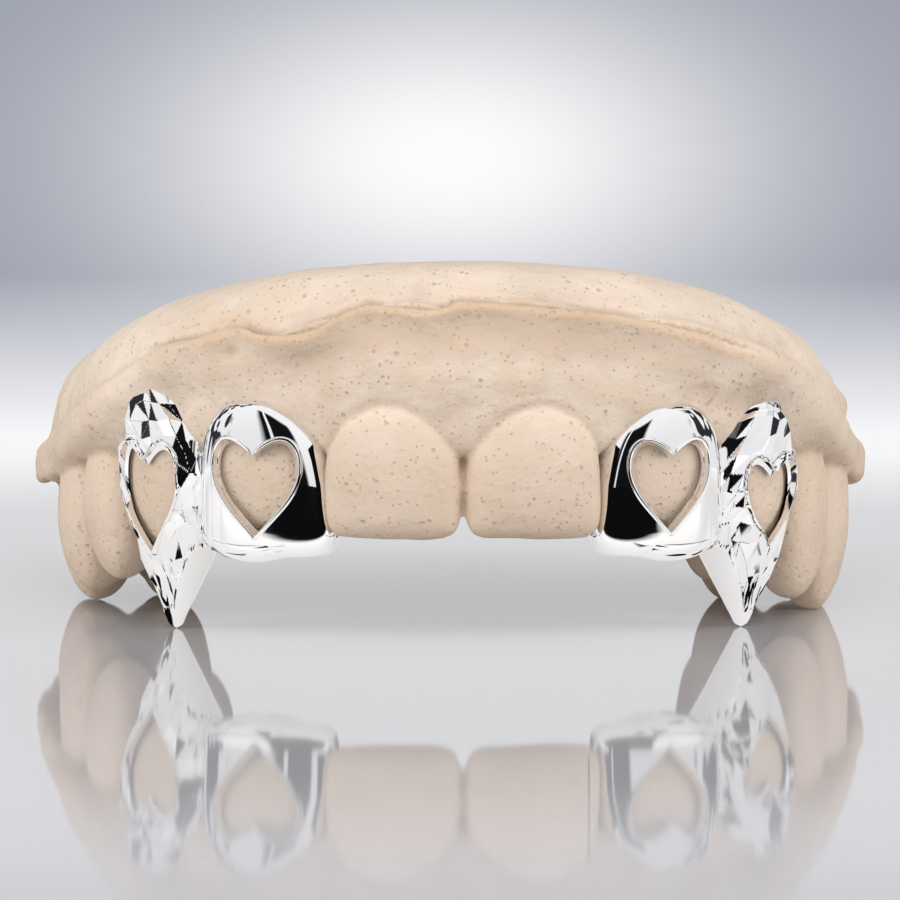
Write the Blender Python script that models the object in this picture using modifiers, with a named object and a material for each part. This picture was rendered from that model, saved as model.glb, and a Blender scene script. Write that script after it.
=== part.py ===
"""Pair of two-tooth caps with heart windows, set on a dental stone cast of an upper arch.

Metres, +Z up, -Y is the front. The cast stands teeth down, on the two fang tips of the
caps and on its molar cusps. Each cap pair is one soldered piece of metal: a smooth cap on
the lateral incisor and a diamond-cut cap on the canine, drawn down into a fang.
"""

import math
from collections import namedtuple

import bmesh
import bpy
import numpy as np

# Arch: the curve in plan on which the biting tips of the teeth stand
ARCH_HALF_WIDTH = 0.0262
ARCH_LENGTH = 0.0450
ARCH_ROUNDNESS = 0.7

# Heights above the surface on which the cast stands
CAST_HEIGHT = 0.0242
NECK_HEIGHT = 0.0150
LATERAL_NECK_HEIGHT = 0.0139
CANINE_NECK_HEIGHT = 0.0144
COLLAR_HEIGHT = 0.0113
CENTRAL_EDGE = 0.0064
LATERAL_EDGE = 0.0060
CANINE_TIP = 0.0040

# Teeth: widths along the arch, and how far a crown bulges to the lip and to the palate
CENTRAL_WIDTH = 0.0085
LATERAL_WIDTH = 0.0066
CANINE_WIDTH = 0.0070
PREMOLAR_WIDTH = 0.0058
MOLAR_CUSP_WIDTH = 0.0056
FRONT_BULGE = 0.0020
FRONT_DEPTH = 0.0044
CUSP_BULGE = 0.0024
CUSP_SPAN = 0.0056
LEFT_PREMOLAR_LIFT = 0.0014

# Gum of the cast
GUM_THICKNESS = 0.0036
RIDGE_WIDTH = 0.0056
GROOVE_WIDTH = 0.0013
PALATE_MARGIN = 0.0017
MARGIN_ROUND = 0.0004
TOP_FALL = 0.0038

# Caps
CAP_WALL = 0.00050
CAP_GAP = 0.00020
LIP_HEIGHT = 0.0012
LIP_PROUD = 0.00030
LIP_DROP = 0.00050
LIP_RISE = 0.0010
SEAM_RADIUS = 0.00060
SEAM_TOP = 0.0117
SEAM_FOOT = 0.0058
FACET_PITCH = 0.00125
FACET_DEPTH = 0.00007
LATERAL_HEART_WIDTH = 0.0054
LATERAL_HEART_TOP = 0.0127
LATERAL_HEART_FOOT = 0.0067
CANINE_HEART_WIDTH = 0.0054
CANINE_HEART_TOP = 0.0119
CANINE_HEART_FOOT = 0.0054

# Fineness of the meshes
FRONT_SIDES = 18
CUSP_SIDES = 10
GUM_HALF_STATIONS = 10
HEART_POINTS = 24
FLATNESS = math.radians(2.5)
SMALLEST_EDGE = 8e-6

STONE = (0.70, 0.60, 0.48, 1.0)
SILVER = (0.80, 0.80, 0.81, 1.0)

Row = namedtuple("Row", "height width facial palatal")
Tooth = namedtuple("Tooth", "rows place inside face width facial palatal tip neck sides")
Cusp = namedtuple("Cusp", "rows place inside width lip palate tip neck")
Heart = namedtuple("Heart", "tooth shift width top foot")
Station = namedtuple(
    "Station", "place collar ridge neck roll roll_z crest crest_z groove_z land land_z vault")

# Crown shapes: height from tip to neck, and shares of the half width, the bulge and the depth
INCISOR = (
    Row(0.00, 0.66, 0.12, 0.02),
    Row(0.04, 0.88, 0.38, 0.12),
    Row(0.14, 0.98, 0.66, 0.22),
    Row(0.38, 1.00, 0.92, 0.42),
    Row(0.60, 0.95, 1.00, 0.76),
    Row(0.76, 0.82, 1.00, 0.95),
    Row(0.88, 0.62, 0.97, 1.00),
    Row(0.97, 0.36, 0.86, 0.94),
    Row(1.00, 0.18, 0.60, 0.70),
)
SIDE_INCISOR = (
    Row(0.00, 0.66, 0.12, 0.02),
    Row(0.04, 0.88, 0.38, 0.12),
    Row(0.14, 0.98, 0.66, 0.22),
    Row(0.38, 1.00, 0.92, 0.42),
    Row(0.60, 0.98, 1.00, 0.76),
    Row(0.76, 0.90, 1.00, 0.95),
    Row(0.88, 0.74, 0.97, 1.00),
    Row(0.97, 0.47, 0.86, 0.94),
    Row(1.00, 0.20, 0.60, 0.70),
)
CANINE = (
    Row(0.00, 0.10, 0.14, 0.10),
    Row(0.06, 0.32, 0.40, 0.22),
    Row(0.18, 0.62, 0.70, 0.46),
    Row(0.36, 0.88, 0.92, 0.76),
    Row(0.58, 1.00, 1.00, 0.96),
    Row(0.77, 0.90, 1.00, 1.00),
    Row(0.90, 0.66, 0.97, 0.98),
    Row(0.98, 0.38, 0.86, 0.90),
    Row(1.00, 0.18, 0.60, 0.70),
)
FANG = (
    Row(0.000, 0.05, 0.07, 0.04),
    Row(0.015, 0.10, 0.14, 0.08),
    Row(0.185, 0.40, 0.55, 0.32),
    Row(0.340, 0.64, 0.82, 0.56),
    Row(0.480, 0.86, 0.95, 0.80),
    Row(0.620, 1.00, 1.00, 0.94),
    Row(0.780, 0.94, 1.00, 1.00),
    Row(0.890, 0.75, 0.98, 1.00),
    Row(0.965, 0.48, 0.90, 0.92),
    Row(1.000, 0.22, 0.60, 0.70),
)
CUSP = (
    Row(0.00, 0.20, 0.18, 0.20),
    Row(0.06, 0.50, 0.46, 0.50),
    Row(0.24, 0.82, 0.78, 0.82),
    Row(0.58, 1.00, 1.00, 1.00),
    Row(0.88, 0.88, 0.94, 0.95),
    Row(1.00, 0.55, 0.60, 0.70),
)

CORE = (
    Row(0.00, 0.72, 0.74, 0.74),
    Row(0.12, 0.90, 0.90, 0.90),
    Row(0.50, 1.00, 1.00, 1.00),
    Row(1.00, 0.72, 0.76, 0.80),
)

# Front teeth of one side. place is a share of the arch's length, and face the share of the
# arch's own turn that the tooth takes
CENTRAL = Tooth(INCISOR, 0.0745, 0.0, 0.55, CENTRAL_WIDTH, FRONT_BULGE, FRONT_DEPTH,
                CENTRAL_EDGE, NECK_HEIGHT, FRONT_SIDES)
LATERAL = Tooth(SIDE_INCISOR, 0.2240, 0.0, 0.80, LATERAL_WIDTH, FRONT_BULGE, FRONT_DEPTH,
                LATERAL_EDGE, LATERAL_NECK_HEIGHT, FRONT_SIDES)
EYE_TOOTH = Tooth(CANINE, 0.3560, 0.0, 0.95, CANINE_WIDTH, FRONT_BULGE * 1.1, FRONT_DEPTH,
                  CANINE_TIP, CANINE_NECK_HEIGHT, FRONT_SIDES)

# Back teeth: each is a core with a cusp at every corner. inside is a share of the span from
# outer to inner cusps, lip and palate are shares of a cusp's bulge, and tip and neck are
# shares of the collar's height
PREMOLARS = (
    Cusp(CORE, 0.479, 0.50, PREMOLAR_WIDTH, 1.40, 1.40, 0.32, 0.95),
    Cusp(CUSP, 0.478, 0.00, PREMOLAR_WIDTH, 0.90, 1.20, 0.11, 0.98),
    Cusp(CUSP, 0.480, 1.00, PREMOLAR_WIDTH * 0.9, 1.20, 0.92, 0.19, 0.90),
    Cusp(CORE, 0.569, 0.50, PREMOLAR_WIDTH, 1.40, 1.40, 0.24, 0.86),
    Cusp(CUSP, 0.568, 0.00, PREMOLAR_WIDTH, 0.92, 1.20, 0.00, 0.90),
    Cusp(CUSP, 0.570, 1.00, PREMOLAR_WIDTH * 0.9, 1.20, 0.95, 0.07, 0.86),
)
MOLARS = (
    Cusp(CORE, 0.697, 0.67, MOLAR_CUSP_WIDTH * 1.75, 1.75, 1.75, 0.19, 0.76),
    Cusp(CUSP, 0.655, 0.20, MOLAR_CUSP_WIDTH, 0.95, 1.20, 0.03, 0.80),
    Cusp(CUSP, 0.735, 0.22, MOLAR_CUSP_WIDTH, 0.92, 1.20, 0.04, 0.76),
    Cusp(CUSP, 0.662, 1.15, MOLAR_CUSP_WIDTH, 1.20, 1.05, 0.00, 0.80),
    Cusp(CUSP, 0.742, 1.10, MOLAR_CUSP_WIDTH, 1.20, 0.95, 0.05, 0.76),
    Cusp(CORE, 0.865, 0.68, MOLAR_CUSP_WIDTH * 1.60, 1.60, 1.60, 0.22, 0.74),
    Cusp(CUSP, 0.828, 0.25, MOLAR_CUSP_WIDTH, 0.92, 1.20, 0.07, 0.74),
    Cusp(CUSP, 0.902, 0.35, MOLAR_CUSP_WIDTH * 0.9, 0.85, 1.20, 0.13, 0.72),
    Cusp(CUSP, 0.832, 1.15, MOLAR_CUSP_WIDTH, 1.20, 0.95, 0.05, 0.74),
    Cusp(CUSP, 0.902, 1.05, MOLAR_CUSP_WIDTH * 0.9, 1.20, 0.85, 0.13, 0.72),
)

# Gum sections: place as a share of the arch's length, heights as shares of the cast's height
# (collar: of the collar's height), ridge of the ridge's width, and the distances outside the
# arch as shares of the gum's thickness
GUM = (
    Station(0.00, 1.00, 1.00, 0.42, 0.80, 0.775, 0.55, 0.885, 0.862, -0.40, 0.965, 0.70),
    Station(0.12, 1.00, 1.00, 0.42, 0.78, 0.765, 0.60, 0.868, 0.845, -0.35, 0.955, 0.70),
    Station(0.23, 0.99, 1.00, 0.44, 0.84, 0.715, 0.74, 0.822, 0.800, -0.20, 0.925, 0.70),
    Station(0.36, 0.97, 1.05, 0.52, 1.02, 0.645, 0.98, 0.730, 0.712, 0.10, 0.840, 0.69),
    Station(0.48, 0.90, 1.35, 0.44, 0.82, 0.510, 0.84, 0.605, 0.595, 0.30, 0.740, 0.68),
    Station(0.62, 0.76, 1.45, 0.42, 0.72, 0.390, 0.70, 0.495, 0.490, 0.35, 0.630, 0.66),
    Station(0.80, 0.63, 1.55, 0.44, 0.72, 0.345, 0.64, 0.435, 0.435, 0.30, 0.570, 0.64),
    Station(1.00, 0.60, 1.50, 0.36, 0.45, 0.335, 0.40, 0.430, 0.430, 0.15, 0.550, 0.62),
)
# Palate from its midline to the margin of the ridge: run is a share of the way, fall of the drop
Bend = namedtuple("Bend", "run fall")
PALATE = (Bend(1.00, 0.00), Bend(0.60, 0.08), Bend(0.22, 0.45), Bend(0.00, 1.00))
SPINE_FRONT = 0.42  # front of the palate's midline, as a share of the arch's length
RIDGE_INNER = 0.65  # edges of the ridge's underside, as shares of its width
RIDGE_OUTER = 0.12
NECK_SHARE = 0.40  # height of the neck between collar and roll
FLAT_TOP = 0.62  # where the even top starts, as a share of the way to the midline

HEARTS = (
    Heart(LATERAL, -0.10, LATERAL_HEART_WIDTH, LATERAL_HEART_TOP, LATERAL_HEART_FOOT),
    Heart(EYE_TOOTH, -0.04, CANINE_HEART_WIDTH, CANINE_HEART_TOP, CANINE_HEART_FOOT),
)


def arch_table(steps=2000):
    """Length share, x and y along the tips: x = W sin t, y = L (1 - cos t ^ roundness)."""
    t = np.linspace(0.0, math.pi / 2, steps)
    x = ARCH_HALF_WIDTH * np.sin(t)
    y = ARCH_LENGTH * (1.0 - np.maximum(np.cos(t), 0.0) ** ARCH_ROUNDNESS)
    run = np.concatenate([[0.0], np.cumsum(np.hypot(np.diff(x), np.diff(y)))])
    return run / run[-1], x, y


SHARE, ARCH_X, ARCH_Y = arch_table()


def on_arch(place):
    """Point of the right half of the arch at a share of its length, and its turn there."""
    ahead, behind = min(place + 0.004, 1.0), max(place - 0.004, 0.0)
    point = np.array([np.interp(place, SHARE, ARCH_X), np.interp(place, SHARE, ARCH_Y)])
    dx = np.interp(ahead, SHARE, ARCH_X) - np.interp(behind, SHARE, ARCH_X)
    dy = np.interp(ahead, SHARE, ARCH_Y) - np.interp(behind, SHARE, ARCH_Y)
    return point, math.atan2(dy, dx)


def tooth_frame(tooth):
    """Foot point of a tooth in plan, its direction along the arch and its outward direction."""
    point, turn = on_arch(tooth.place)
    turn *= tooth.face
    along = np.array([math.cos(turn), math.sin(turn)])
    outward = np.array([math.sin(turn), -math.cos(turn)])
    return point - outward * tooth.inside, along, outward


def squared_ring(sides, start, power=2.5):
    """Cosine and sine of a ring of angles, pulled out towards the corners of a square."""
    angle = 2 * math.pi * (np.arange(sides) + start) / sides
    cosine, sine = np.cos(angle), np.sin(angle)
    size = (np.abs(cosine) ** power + np.abs(sine) ** power) ** (-1 / power)
    return cosine * size, sine * size


def crown_rings(tooth, grow=0.0, rows=None, tip=None, staggered=False):
    """Rings of a crown, each with its own reach to both sides, to the lip and to the palate."""
    foot, along, outward = tooth_frame(tooth)
    low = tooth.tip - grow if tip is None else tip
    high = tooth.neck + grow
    rings = []
    for number, row in enumerate(rows or tooth.rows):
        cosine, sine = squared_ring(tooth.sides, 0.5 * (number % 2) if staggered else 0.0)
        half = (tooth.width / 2 + grow) * row.width
        reach = np.where(sine > 0, (tooth.facial + grow) * row.facial,
                         (tooth.palatal + grow) * row.palatal)
        plan = foot + np.outer(cosine * half, along) + np.outer(sine * reach, outward)
        rings.append(np.column_stack([plan, np.full(tooth.sides, low + (high - low) * row.height)]))
    return rings


def back_tooth(cusp, side):
    """A cusp or core as a small crown of its own."""
    lift = LEFT_PREMOLAR_LIFT if side < 0 and cusp in PREMOLARS else 0.0
    return Tooth(cusp.rows, cusp.place, cusp.inside * CUSP_SPAN, 0.95, cusp.width,
                 CUSP_BULGE * cusp.lip, CUSP_BULGE * cusp.palate,
                 COLLAR_HEIGHT * cusp.tip + lift, COLLAR_HEIGHT * cusp.neck, CUSP_SIDES)


def mirrored(points, side):
    """The points on the right side, or with side -1 their mirror image on the left."""
    points = np.array(points)
    points[..., 0] *= side
    return points


def closed_object(name, bm, collection):
    """Object of a closed bmesh, its faces turned outwards and cut into triangles."""
    bmesh.ops.recalc_face_normals(bm, faces=bm.faces)
    bmesh.ops.triangulate(bm, faces=bm.faces)
    mesh = bpy.data.meshes.new(name)
    bm.to_mesh(mesh)
    bm.free()
    item = bpy.data.objects.new(name, mesh)
    collection.objects.link(item)
    return item


def loft(name, rings, collection, staggered=False):
    """Closed body through rings of equal count; staggered rings give slanting triangles."""
    bm = bmesh.new()
    loops = [[bm.verts.new(point) for point in ring] for ring in rings]
    sides = len(loops[0])
    for number, (lower, upper) in enumerate(zip(loops, loops[1:])):
        for i in range(sides):
            j = (i + 1) % sides
            if not staggered:
                bm.faces.new((lower[i], lower[j], upper[j], upper[i]))
            elif number % 2:
                bm.faces.new((lower[i], lower[j], upper[j]))
                bm.faces.new((lower[i], upper[j], upper[i]))
            else:
                bm.faces.new((lower[i], lower[j], upper[i]))
                bm.faces.new((lower[j], upper[j], upper[i]))
    bm.faces.new(loops[0])
    bm.faces.new(loops[-1])
    return closed_object(name, bm, collection)


def settled(item):
    """Put an object's modifiers into its mesh."""
    graph = bpy.context.evaluated_depsgraph_get()
    mesh = bpy.data.meshes.new_from_object(item.evaluated_get(graph), depsgraph=graph)
    item.modifiers.clear()
    item.data = mesh
    return item


def combine(item, operation, parts):
    """Join the parts to an object, or cut them from it, and remove them."""
    group = bpy.data.collections.new("operands")
    bpy.context.scene.collection.children.link(group)
    for part in parts:
        for owner in part.users_collection:
            owner.objects.unlink(part)
        group.objects.link(part)
    step = item.modifiers.new(operation.lower(), "BOOLEAN")
    step.operation = operation
    step.solver = "EXACT"
    step.operand_type = "COLLECTION"
    step.collection = group
    bpy.context.view_layer.update()
    settled(item)
    for part in parts:
        bpy.data.objects.remove(part)
    bpy.data.collections.remove(group)
    return item


def gum_value(place, name):
    """A column of the gum's table at a place along the arch, evenly between its rows."""
    places = [station.place for station in GUM]
    return np.interp(place, places, [getattr(station, name) for station in GUM])


def top_height(y):
    """Height of the cast's top, which falls evenly from the front teeth to the back."""
    return CAST_HEIGHT - TOP_FALL * max(y, 0.0) / ARCH_LENGTH


def gum_section(place):
    """Loop of one gum section as distance outside the arch and height, spine to spine."""
    point, _ = on_arch(place)
    spine_y = ARCH_LENGTH * (SPINE_FRONT + (1.0 - SPINE_FRONT) * place)
    radius = math.hypot(point[0], spine_y - point[1])
    collar = COLLAR_HEIGHT * gum_value(place, "collar")
    margin = collar + PALATE_MARGIN
    ridge = RIDGE_WIDTH * gum_value(place, "ridge")
    vault = CAST_HEIGHT * gum_value(place, "vault")
    neck = GUM_THICKNESS * gum_value(place, "neck")
    roll = GUM_THICKNESS * gum_value(place, "roll")
    crest = GUM_THICKNESS * gum_value(place, "crest")
    land = GUM_THICKNESS * gum_value(place, "land")
    roll_z = CAST_HEIGHT * gum_value(place, "roll_z")
    crest_z = CAST_HEIGHT * gum_value(place, "crest_z")
    groove_z = CAST_HEIGHT * gum_value(place, "groove_z")
    land_z = CAST_HEIGHT * gum_value(place, "land_z")
    shoulder = land - GUM_THICKNESS

    def top(out):
        return top_height(spine_y + (point[1] - spine_y) * (1.0 + out / radius))

    palate = [(-ridge - (radius - ridge) * bend.run, vault - (vault - margin) * bend.fall)
              for bend in PALATE]
    return spine_y, radius, palate + [
        (-ridge * RIDGE_INNER, collar),
        (-ridge * RIDGE_OUTER, collar),
        (neck - MARGIN_ROUND, collar + MARGIN_ROUND),
        (neck, collar + NECK_SHARE * (roll_z - collar)),
        (roll, roll_z),
        ((roll + crest) / 2, (roll_z + crest_z) / 2),
        (crest, crest_z),
        (crest - GROOVE_WIDTH, groove_z),
        (land, land_z),
        (shoulder, (land_z + top(shoulder)) / 2),
        (-radius * FLAT_TOP, top(-radius * FLAT_TOP)),
        (-radius, top(-radius)),
    ]


def gum_body(collection):
    """Gum and base: sections fan out from the palate's midline, smoothed, flat at the back."""
    bm = bmesh.new()
    places = np.linspace(0.0, 1.0, GUM_HALF_STATIONS + 1)
    signed = [(-1, place) for place in places[:0:-1]] + [(1, place) for place in places]
    loops = []
    for side, place in signed:
        point, _ = on_arch(place)
        spine_y, radius, section = gum_section(place)
        ray = (point - np.array([0.0, spine_y])) / radius
        loop = []
        for out, z in section:
            x, y = np.array([0.0, spine_y]) + ray * (radius + out)
            loop.append(bm.verts.new((side * x, y, z)))
        loops.append(loop)
    for left, right in zip(loops, loops[1:]):
        for i in range(len(left) - 1):
            bm.faces.new((left[i], right[i], right[i + 1], left[i + 1]))
    bmesh.ops.remove_doubles(bm, verts=bm.verts, dist=1e-6)
    mesh = bpy.data.meshes.new("gum")
    bm.to_mesh(mesh)
    bm.free()
    item = bpy.data.objects.new("gum", mesh)
    collection.objects.link(item)
    smooth = item.modifiers.new("smooth", "SUBSURF")
    smooth.levels = 1
    smooth.render_levels = 1
    bpy.context.view_layer.update()
    settled(item)
    bm = bmesh.new()
    bm.from_mesh(item.data)
    rim = [edge for edge in bm.edges if edge.is_boundary]
    back = max(vert.co.y for edge in rim for vert in edge.verts)
    for edge in rim:
        for vert in edge.verts:
            vert.co.y = back
    bmesh.ops.contextual_create(bm, geom=rim)
    bpy.data.objects.remove(item)
    return closed_object("gum", bm, collection)


def swollen(item, name, amount, collection):
    """Copy of a body with its whole surface moved outwards."""
    bm = bmesh.new()
    bm.from_mesh(item.data)
    bm.normal_update()
    moves = [(vert, vert.normal * amount) for vert in bm.verts]
    for vert, move in moves:
        vert.co += move
    return closed_object(name, bm, collection)


def heart_outline():
    """Closed heart of unit width and height about its middle, point down: 16 sin^3 t and so on."""
    t = 2 * math.pi * np.arange(HEART_POINTS) / HEART_POINTS
    x = np.sin(t) ** 3
    y = 13 * np.cos(t) - 5 * np.cos(2 * t) - 2 * np.cos(3 * t) - np.cos(4 * t)
    y = (y - y.min()) / (y.max() - y.min())
    return x / 2, y


def heart_cutter(heart, side, collection):
    """Straight bar of heart section through the facial wall of a cap."""
    foot, along, outward = tooth_frame(heart.tooth)
    x, y = heart_outline()
    across = heart.shift * heart.tooth.width + x * heart.width
    height = heart.foot + y * (heart.top - heart.foot)
    rings = []
    for reach in (heart.tooth.facial * 0.35, heart.tooth.facial + 4 * CAP_WALL):
        plan = foot + outward * reach + np.outer(across, along)
        rings.append(mirrored(np.column_stack([plan, height]), side))
    return loft("heart", rings, collection)


def facet_rings():
    """Rings of the fang cap, one facet apart, with every point set in or out a little."""
    count = round((CANINE_NECK_HEIGHT + CAP_GAP + CAP_WALL) / FACET_PITCH)
    heights = [row.height for row in FANG]
    shares = np.concatenate([[0.0, 0.015], np.linspace(0.09, 0.98, count), [1.0]])
    rows = [Row(share, *(np.interp(share, heights, [getattr(row, name) for row in FANG])
                         for name in ("width", "facial", "palatal"))) for share in shares]
    grow = CAP_GAP + CAP_WALL
    rings = crown_rings(EYE_TOOTH, grow, rows, tip=0.0, staggered=True)
    foot, _, _ = tooth_frame(EYE_TOOTH)
    dice = np.random.default_rng(7)
    for number, ring in enumerate(rings[2:-1]):
        away = ring[:, :2] - foot
        away /= np.linalg.norm(away, axis=1, keepdims=True)
        ring[:, :2] += away * dice.uniform(-1, 1, (len(ring), 1)) * FACET_DEPTH
        ring[:, 2] += dice.uniform(-1, 1, len(ring)) * FACET_DEPTH * min(number, 3)
    return rings


def lip_rings():
    """Band round the biting edge of the lateral cap, proud of it, rising to both corners."""
    grow = CAP_GAP + CAP_WALL
    foot, along, outward = tooth_frame(LATERAL)
    half = LATERAL_WIDTH / 2 + grow
    low = LATERAL_EDGE - grow - LIP_DROP
    rings = []
    for share, width, facial, palatal in (
            (0.00, 0.60, 0.42, 0.34), (0.12, 0.86, 0.80, 0.62), (0.45, 1.00, 1.00, 0.80),
            (0.88, 1.02, 1.04, 0.86), (1.00, 0.96, 0.94, 0.80)):
        cosine, sine = squared_ring(FRONT_SIDES, 0.0, power=2.2)
        front = FRONT_BULGE * 0.72 + grow + LIP_PROUD
        reach = np.where(sine > 0, front * facial, (FRONT_BULGE * 0.6 + grow) * palatal)
        across = cosine * (half + LIP_PROUD) * width
        plan = foot + np.outer(across, along) + np.outer(sine * reach, outward)
        rise = LIP_RISE * cosine ** 2 + LIP_HEIGHT * share
        rings.append(np.column_stack([plan, low + rise]))
    return rings


def seam_rings():
    """Solder bar that fills the corner between the two caps."""
    point, turn = on_arch((LATERAL.place + EYE_TOOTH.place) / 2)
    centre = point + np.array([math.sin(turn), -math.cos(turn)]) * SEAM_RADIUS
    angle = 2 * math.pi * np.arange(10) / 10
    ring = centre + np.column_stack([np.cos(angle), np.sin(angle)]) * SEAM_RADIUS
    return [np.column_stack([ring, np.full(10, z)]) for z in (SEAM_FOOT, SEAM_TOP)]


def cap_unit(name, side, gum, collection):
    """Lateral cap, fang cap and solder seam as one metal body, hollow for teeth and gum."""
    grow = CAP_GAP + CAP_WALL

    def body(rings, staggered=False):
        return loft("body", [mirrored(ring, side) for ring in rings], collection, staggered)

    unit = loft(name, [mirrored(ring, side) for ring in crown_rings(LATERAL, grow)], collection)
    combine(unit, "UNION", [body(facet_rings(), True), body(lip_rings()), body(seam_rings())])
    neighbours = [back_tooth(cusp, side) for cusp in PREMOLARS[:3]]
    hollows = [body(crown_rings(tooth, CAP_GAP))
               for tooth in [CENTRAL, LATERAL, EYE_TOOTH] + neighbours]
    hollows.append(swollen(gum, "gum_room", CAP_GAP, collection))
    hollows.extend(heart_cutter(heart, side, collection) for heart in HEARTS)
    return combine(unit, "DIFFERENCE", hollows)


def material(name, colour, metallic, roughness):
    item = bpy.data.materials.new(name)
    item.use_nodes = True
    shader = item.node_tree.nodes["Principled BSDF"]
    shader.inputs["Base Color"].default_value = colour
    shader.inputs["Metallic"].default_value = metallic
    shader.inputs["Roughness"].default_value = roughness
    return item


def largest_body(item):
    """Keep the largest connected body of a mesh and drop crumbs that a cut left behind."""
    bm = bmesh.new()
    bm.from_mesh(item.data)
    bmesh.ops.remove_doubles(bm, verts=bm.verts, dist=SMALLEST_EDGE)
    left = set(bm.verts)
    bodies = []
    while left:
        seed = left.pop()
        found, queue = {seed}, [seed]
        while queue:
            for edge in queue.pop().link_edges:
                for vert in edge.verts:
                    if vert in left:
                        left.discard(vert)
                        found.add(vert)
                        queue.append(vert)
        bodies.append(found)
    bodies.sort(key=len)
    for crumb in bodies[:-1]:
        bmesh.ops.delete(bm, geom=list(crumb), context="VERTS")
    bmesh.ops.dissolve_limit(bm, angle_limit=FLATNESS, verts=bm.verts, edges=bm.edges)
    bmesh.ops.triangulate(bm, faces=bm.faces)
    bm.to_mesh(item.data)
    bm.free()
    return item


def main():
    for item in list(bpy.data.objects):
        bpy.data.objects.remove(item)
    collection = bpy.data.collections.new("grillz_on_cast")
    bpy.context.scene.collection.children.link(collection)

    gum = gum_body(collection)
    units = [cap_unit("grill_right", 1, gum, collection), cap_unit("grill_left", -1, gum, collection)]

    crowns = []
    for side in (1, -1):
        back_teeth = [back_tooth(cusp, side) for cusp in PREMOLARS + MOLARS]
        for tooth in [CENTRAL, LATERAL, EYE_TOOTH] + back_teeth:
            rings = [mirrored(ring, side) for ring in crown_rings(tooth)]
            crowns.append(loft("crown", rings, collection))
    cast = combine(gum, "UNION", crowns)
    cast.name = "dental_cast"

    pieces = [largest_body(item) for item in [cast] + units]
    corners = np.array([vert.co for item in pieces for vert in item.data.vertices])
    low, high = corners.min(axis=0), corners.max(axis=0)
    shift = np.array([(low[0] + high[0]) / 2, (low[1] + high[1]) / 2, low[2]])
    stone = material("dental_stone", STONE, 0.0, 0.75)
    silver = material("polished_silver", SILVER, 1.0, 0.08)
    for item in pieces:
        for vert in item.data.vertices:
            vert.co -= type(vert.co)(shift)
        item.data.materials.clear()
        item.data.materials.append(stone if item is cast else silver)
        print(item.name, len(item.data.polygons), "triangles")
    print("box in mm", (high - low) * 1000)


main()
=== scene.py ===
# %% [markdown]
# # Grillz with heart windows, on a dental cast
#
# The object is a pair of tooth caps, polished silver, that sit on a stone cast of an upper
# jaw. The cast stands teeth down on a glossy table. Each cap pair is one soldered piece: a
# smooth cap over the side incisor and a diamond-cut cap over the canine, drawn into a fang.
#
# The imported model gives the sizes. This lesson makes the finished surfaces on top of it, as
# functions of two parameters, and gives each its material.

# %% Load the frame
import math

import bmesh
import bpy
import numpy as np
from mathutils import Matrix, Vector


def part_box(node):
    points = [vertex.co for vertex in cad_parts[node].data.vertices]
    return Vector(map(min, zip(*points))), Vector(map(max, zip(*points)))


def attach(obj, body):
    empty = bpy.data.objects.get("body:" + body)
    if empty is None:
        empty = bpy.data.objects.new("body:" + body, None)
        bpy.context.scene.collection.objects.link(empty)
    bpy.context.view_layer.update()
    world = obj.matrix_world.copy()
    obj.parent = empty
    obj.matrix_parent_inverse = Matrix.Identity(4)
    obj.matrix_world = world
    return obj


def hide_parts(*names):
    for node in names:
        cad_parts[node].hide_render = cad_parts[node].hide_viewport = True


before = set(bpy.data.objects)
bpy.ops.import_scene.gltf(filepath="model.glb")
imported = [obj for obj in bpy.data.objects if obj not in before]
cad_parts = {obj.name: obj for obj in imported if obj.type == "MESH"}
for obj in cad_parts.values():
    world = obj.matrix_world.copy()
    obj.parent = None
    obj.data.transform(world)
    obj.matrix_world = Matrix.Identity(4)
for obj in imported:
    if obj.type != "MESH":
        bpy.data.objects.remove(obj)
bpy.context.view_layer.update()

# %% [markdown]
# ## The arch
#
# All teeth stand on one curve in plan. A dental arch could be drawn by hand as a spline, but
# a formula keeps both sides alike: x = W sin t and y = L (1 - cos t ^ roundness). A place on
# it is a share of its length, 0 between the front teeth and 1 behind the last molar. Lengths
# in this lesson are millimetres, and the meshes are scaled to metres when they are made.

# %% Arch
MM = 0.001
ARCH_HALF_WIDTH = 26.2
ARCH_LENGTH = 45.0
ARCH_ROUNDNESS = 0.7
ARCH_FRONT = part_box("dental_cast")[1].y / MM - ARCH_LENGTH

swing = np.linspace(0.0, math.pi / 2, 4000)
arch_x = ARCH_HALF_WIDTH * np.sin(swing)
arch_y = ARCH_LENGTH * (1.0 - np.cos(swing).clip(0.0) ** ARCH_ROUNDNESS)
arch_run = np.concatenate([[0.0], np.cumsum(np.hypot(np.diff(arch_x), np.diff(arch_y)))])
arch_share = arch_run / arch_run[-1]
print("length of half the arch in mm:", round(arch_run[-1], 1))


def on_arch(place):
    """Plan point of the right half of the arch at each place, and the arch's turn there."""
    x, y = np.interp(place, arch_share, arch_x), np.interp(place, arch_share, arch_y)
    ahead, behind = np.minimum(place + 0.004, 1.0), np.maximum(place - 0.004, 0.0)
    dx = np.interp(ahead, arch_share, arch_x) - np.interp(behind, arch_share, arch_x)
    dy = np.interp(ahead, arch_share, arch_y) - np.interp(behind, arch_share, arch_y)
    return x, y, np.arctan2(dy, dx)


# %% [markdown]
# ## Helpers for surfaces
#
# A surface is an array of points with one row for each step of the first parameter and one
# column for each step of the second. Quads join neighbours. Loops in Python would be slow on
# hundreds of thousands of points, so the face numbers are worked out as arrays too.

# %% Helpers for surfaces
WELD = 1e-4


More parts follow.
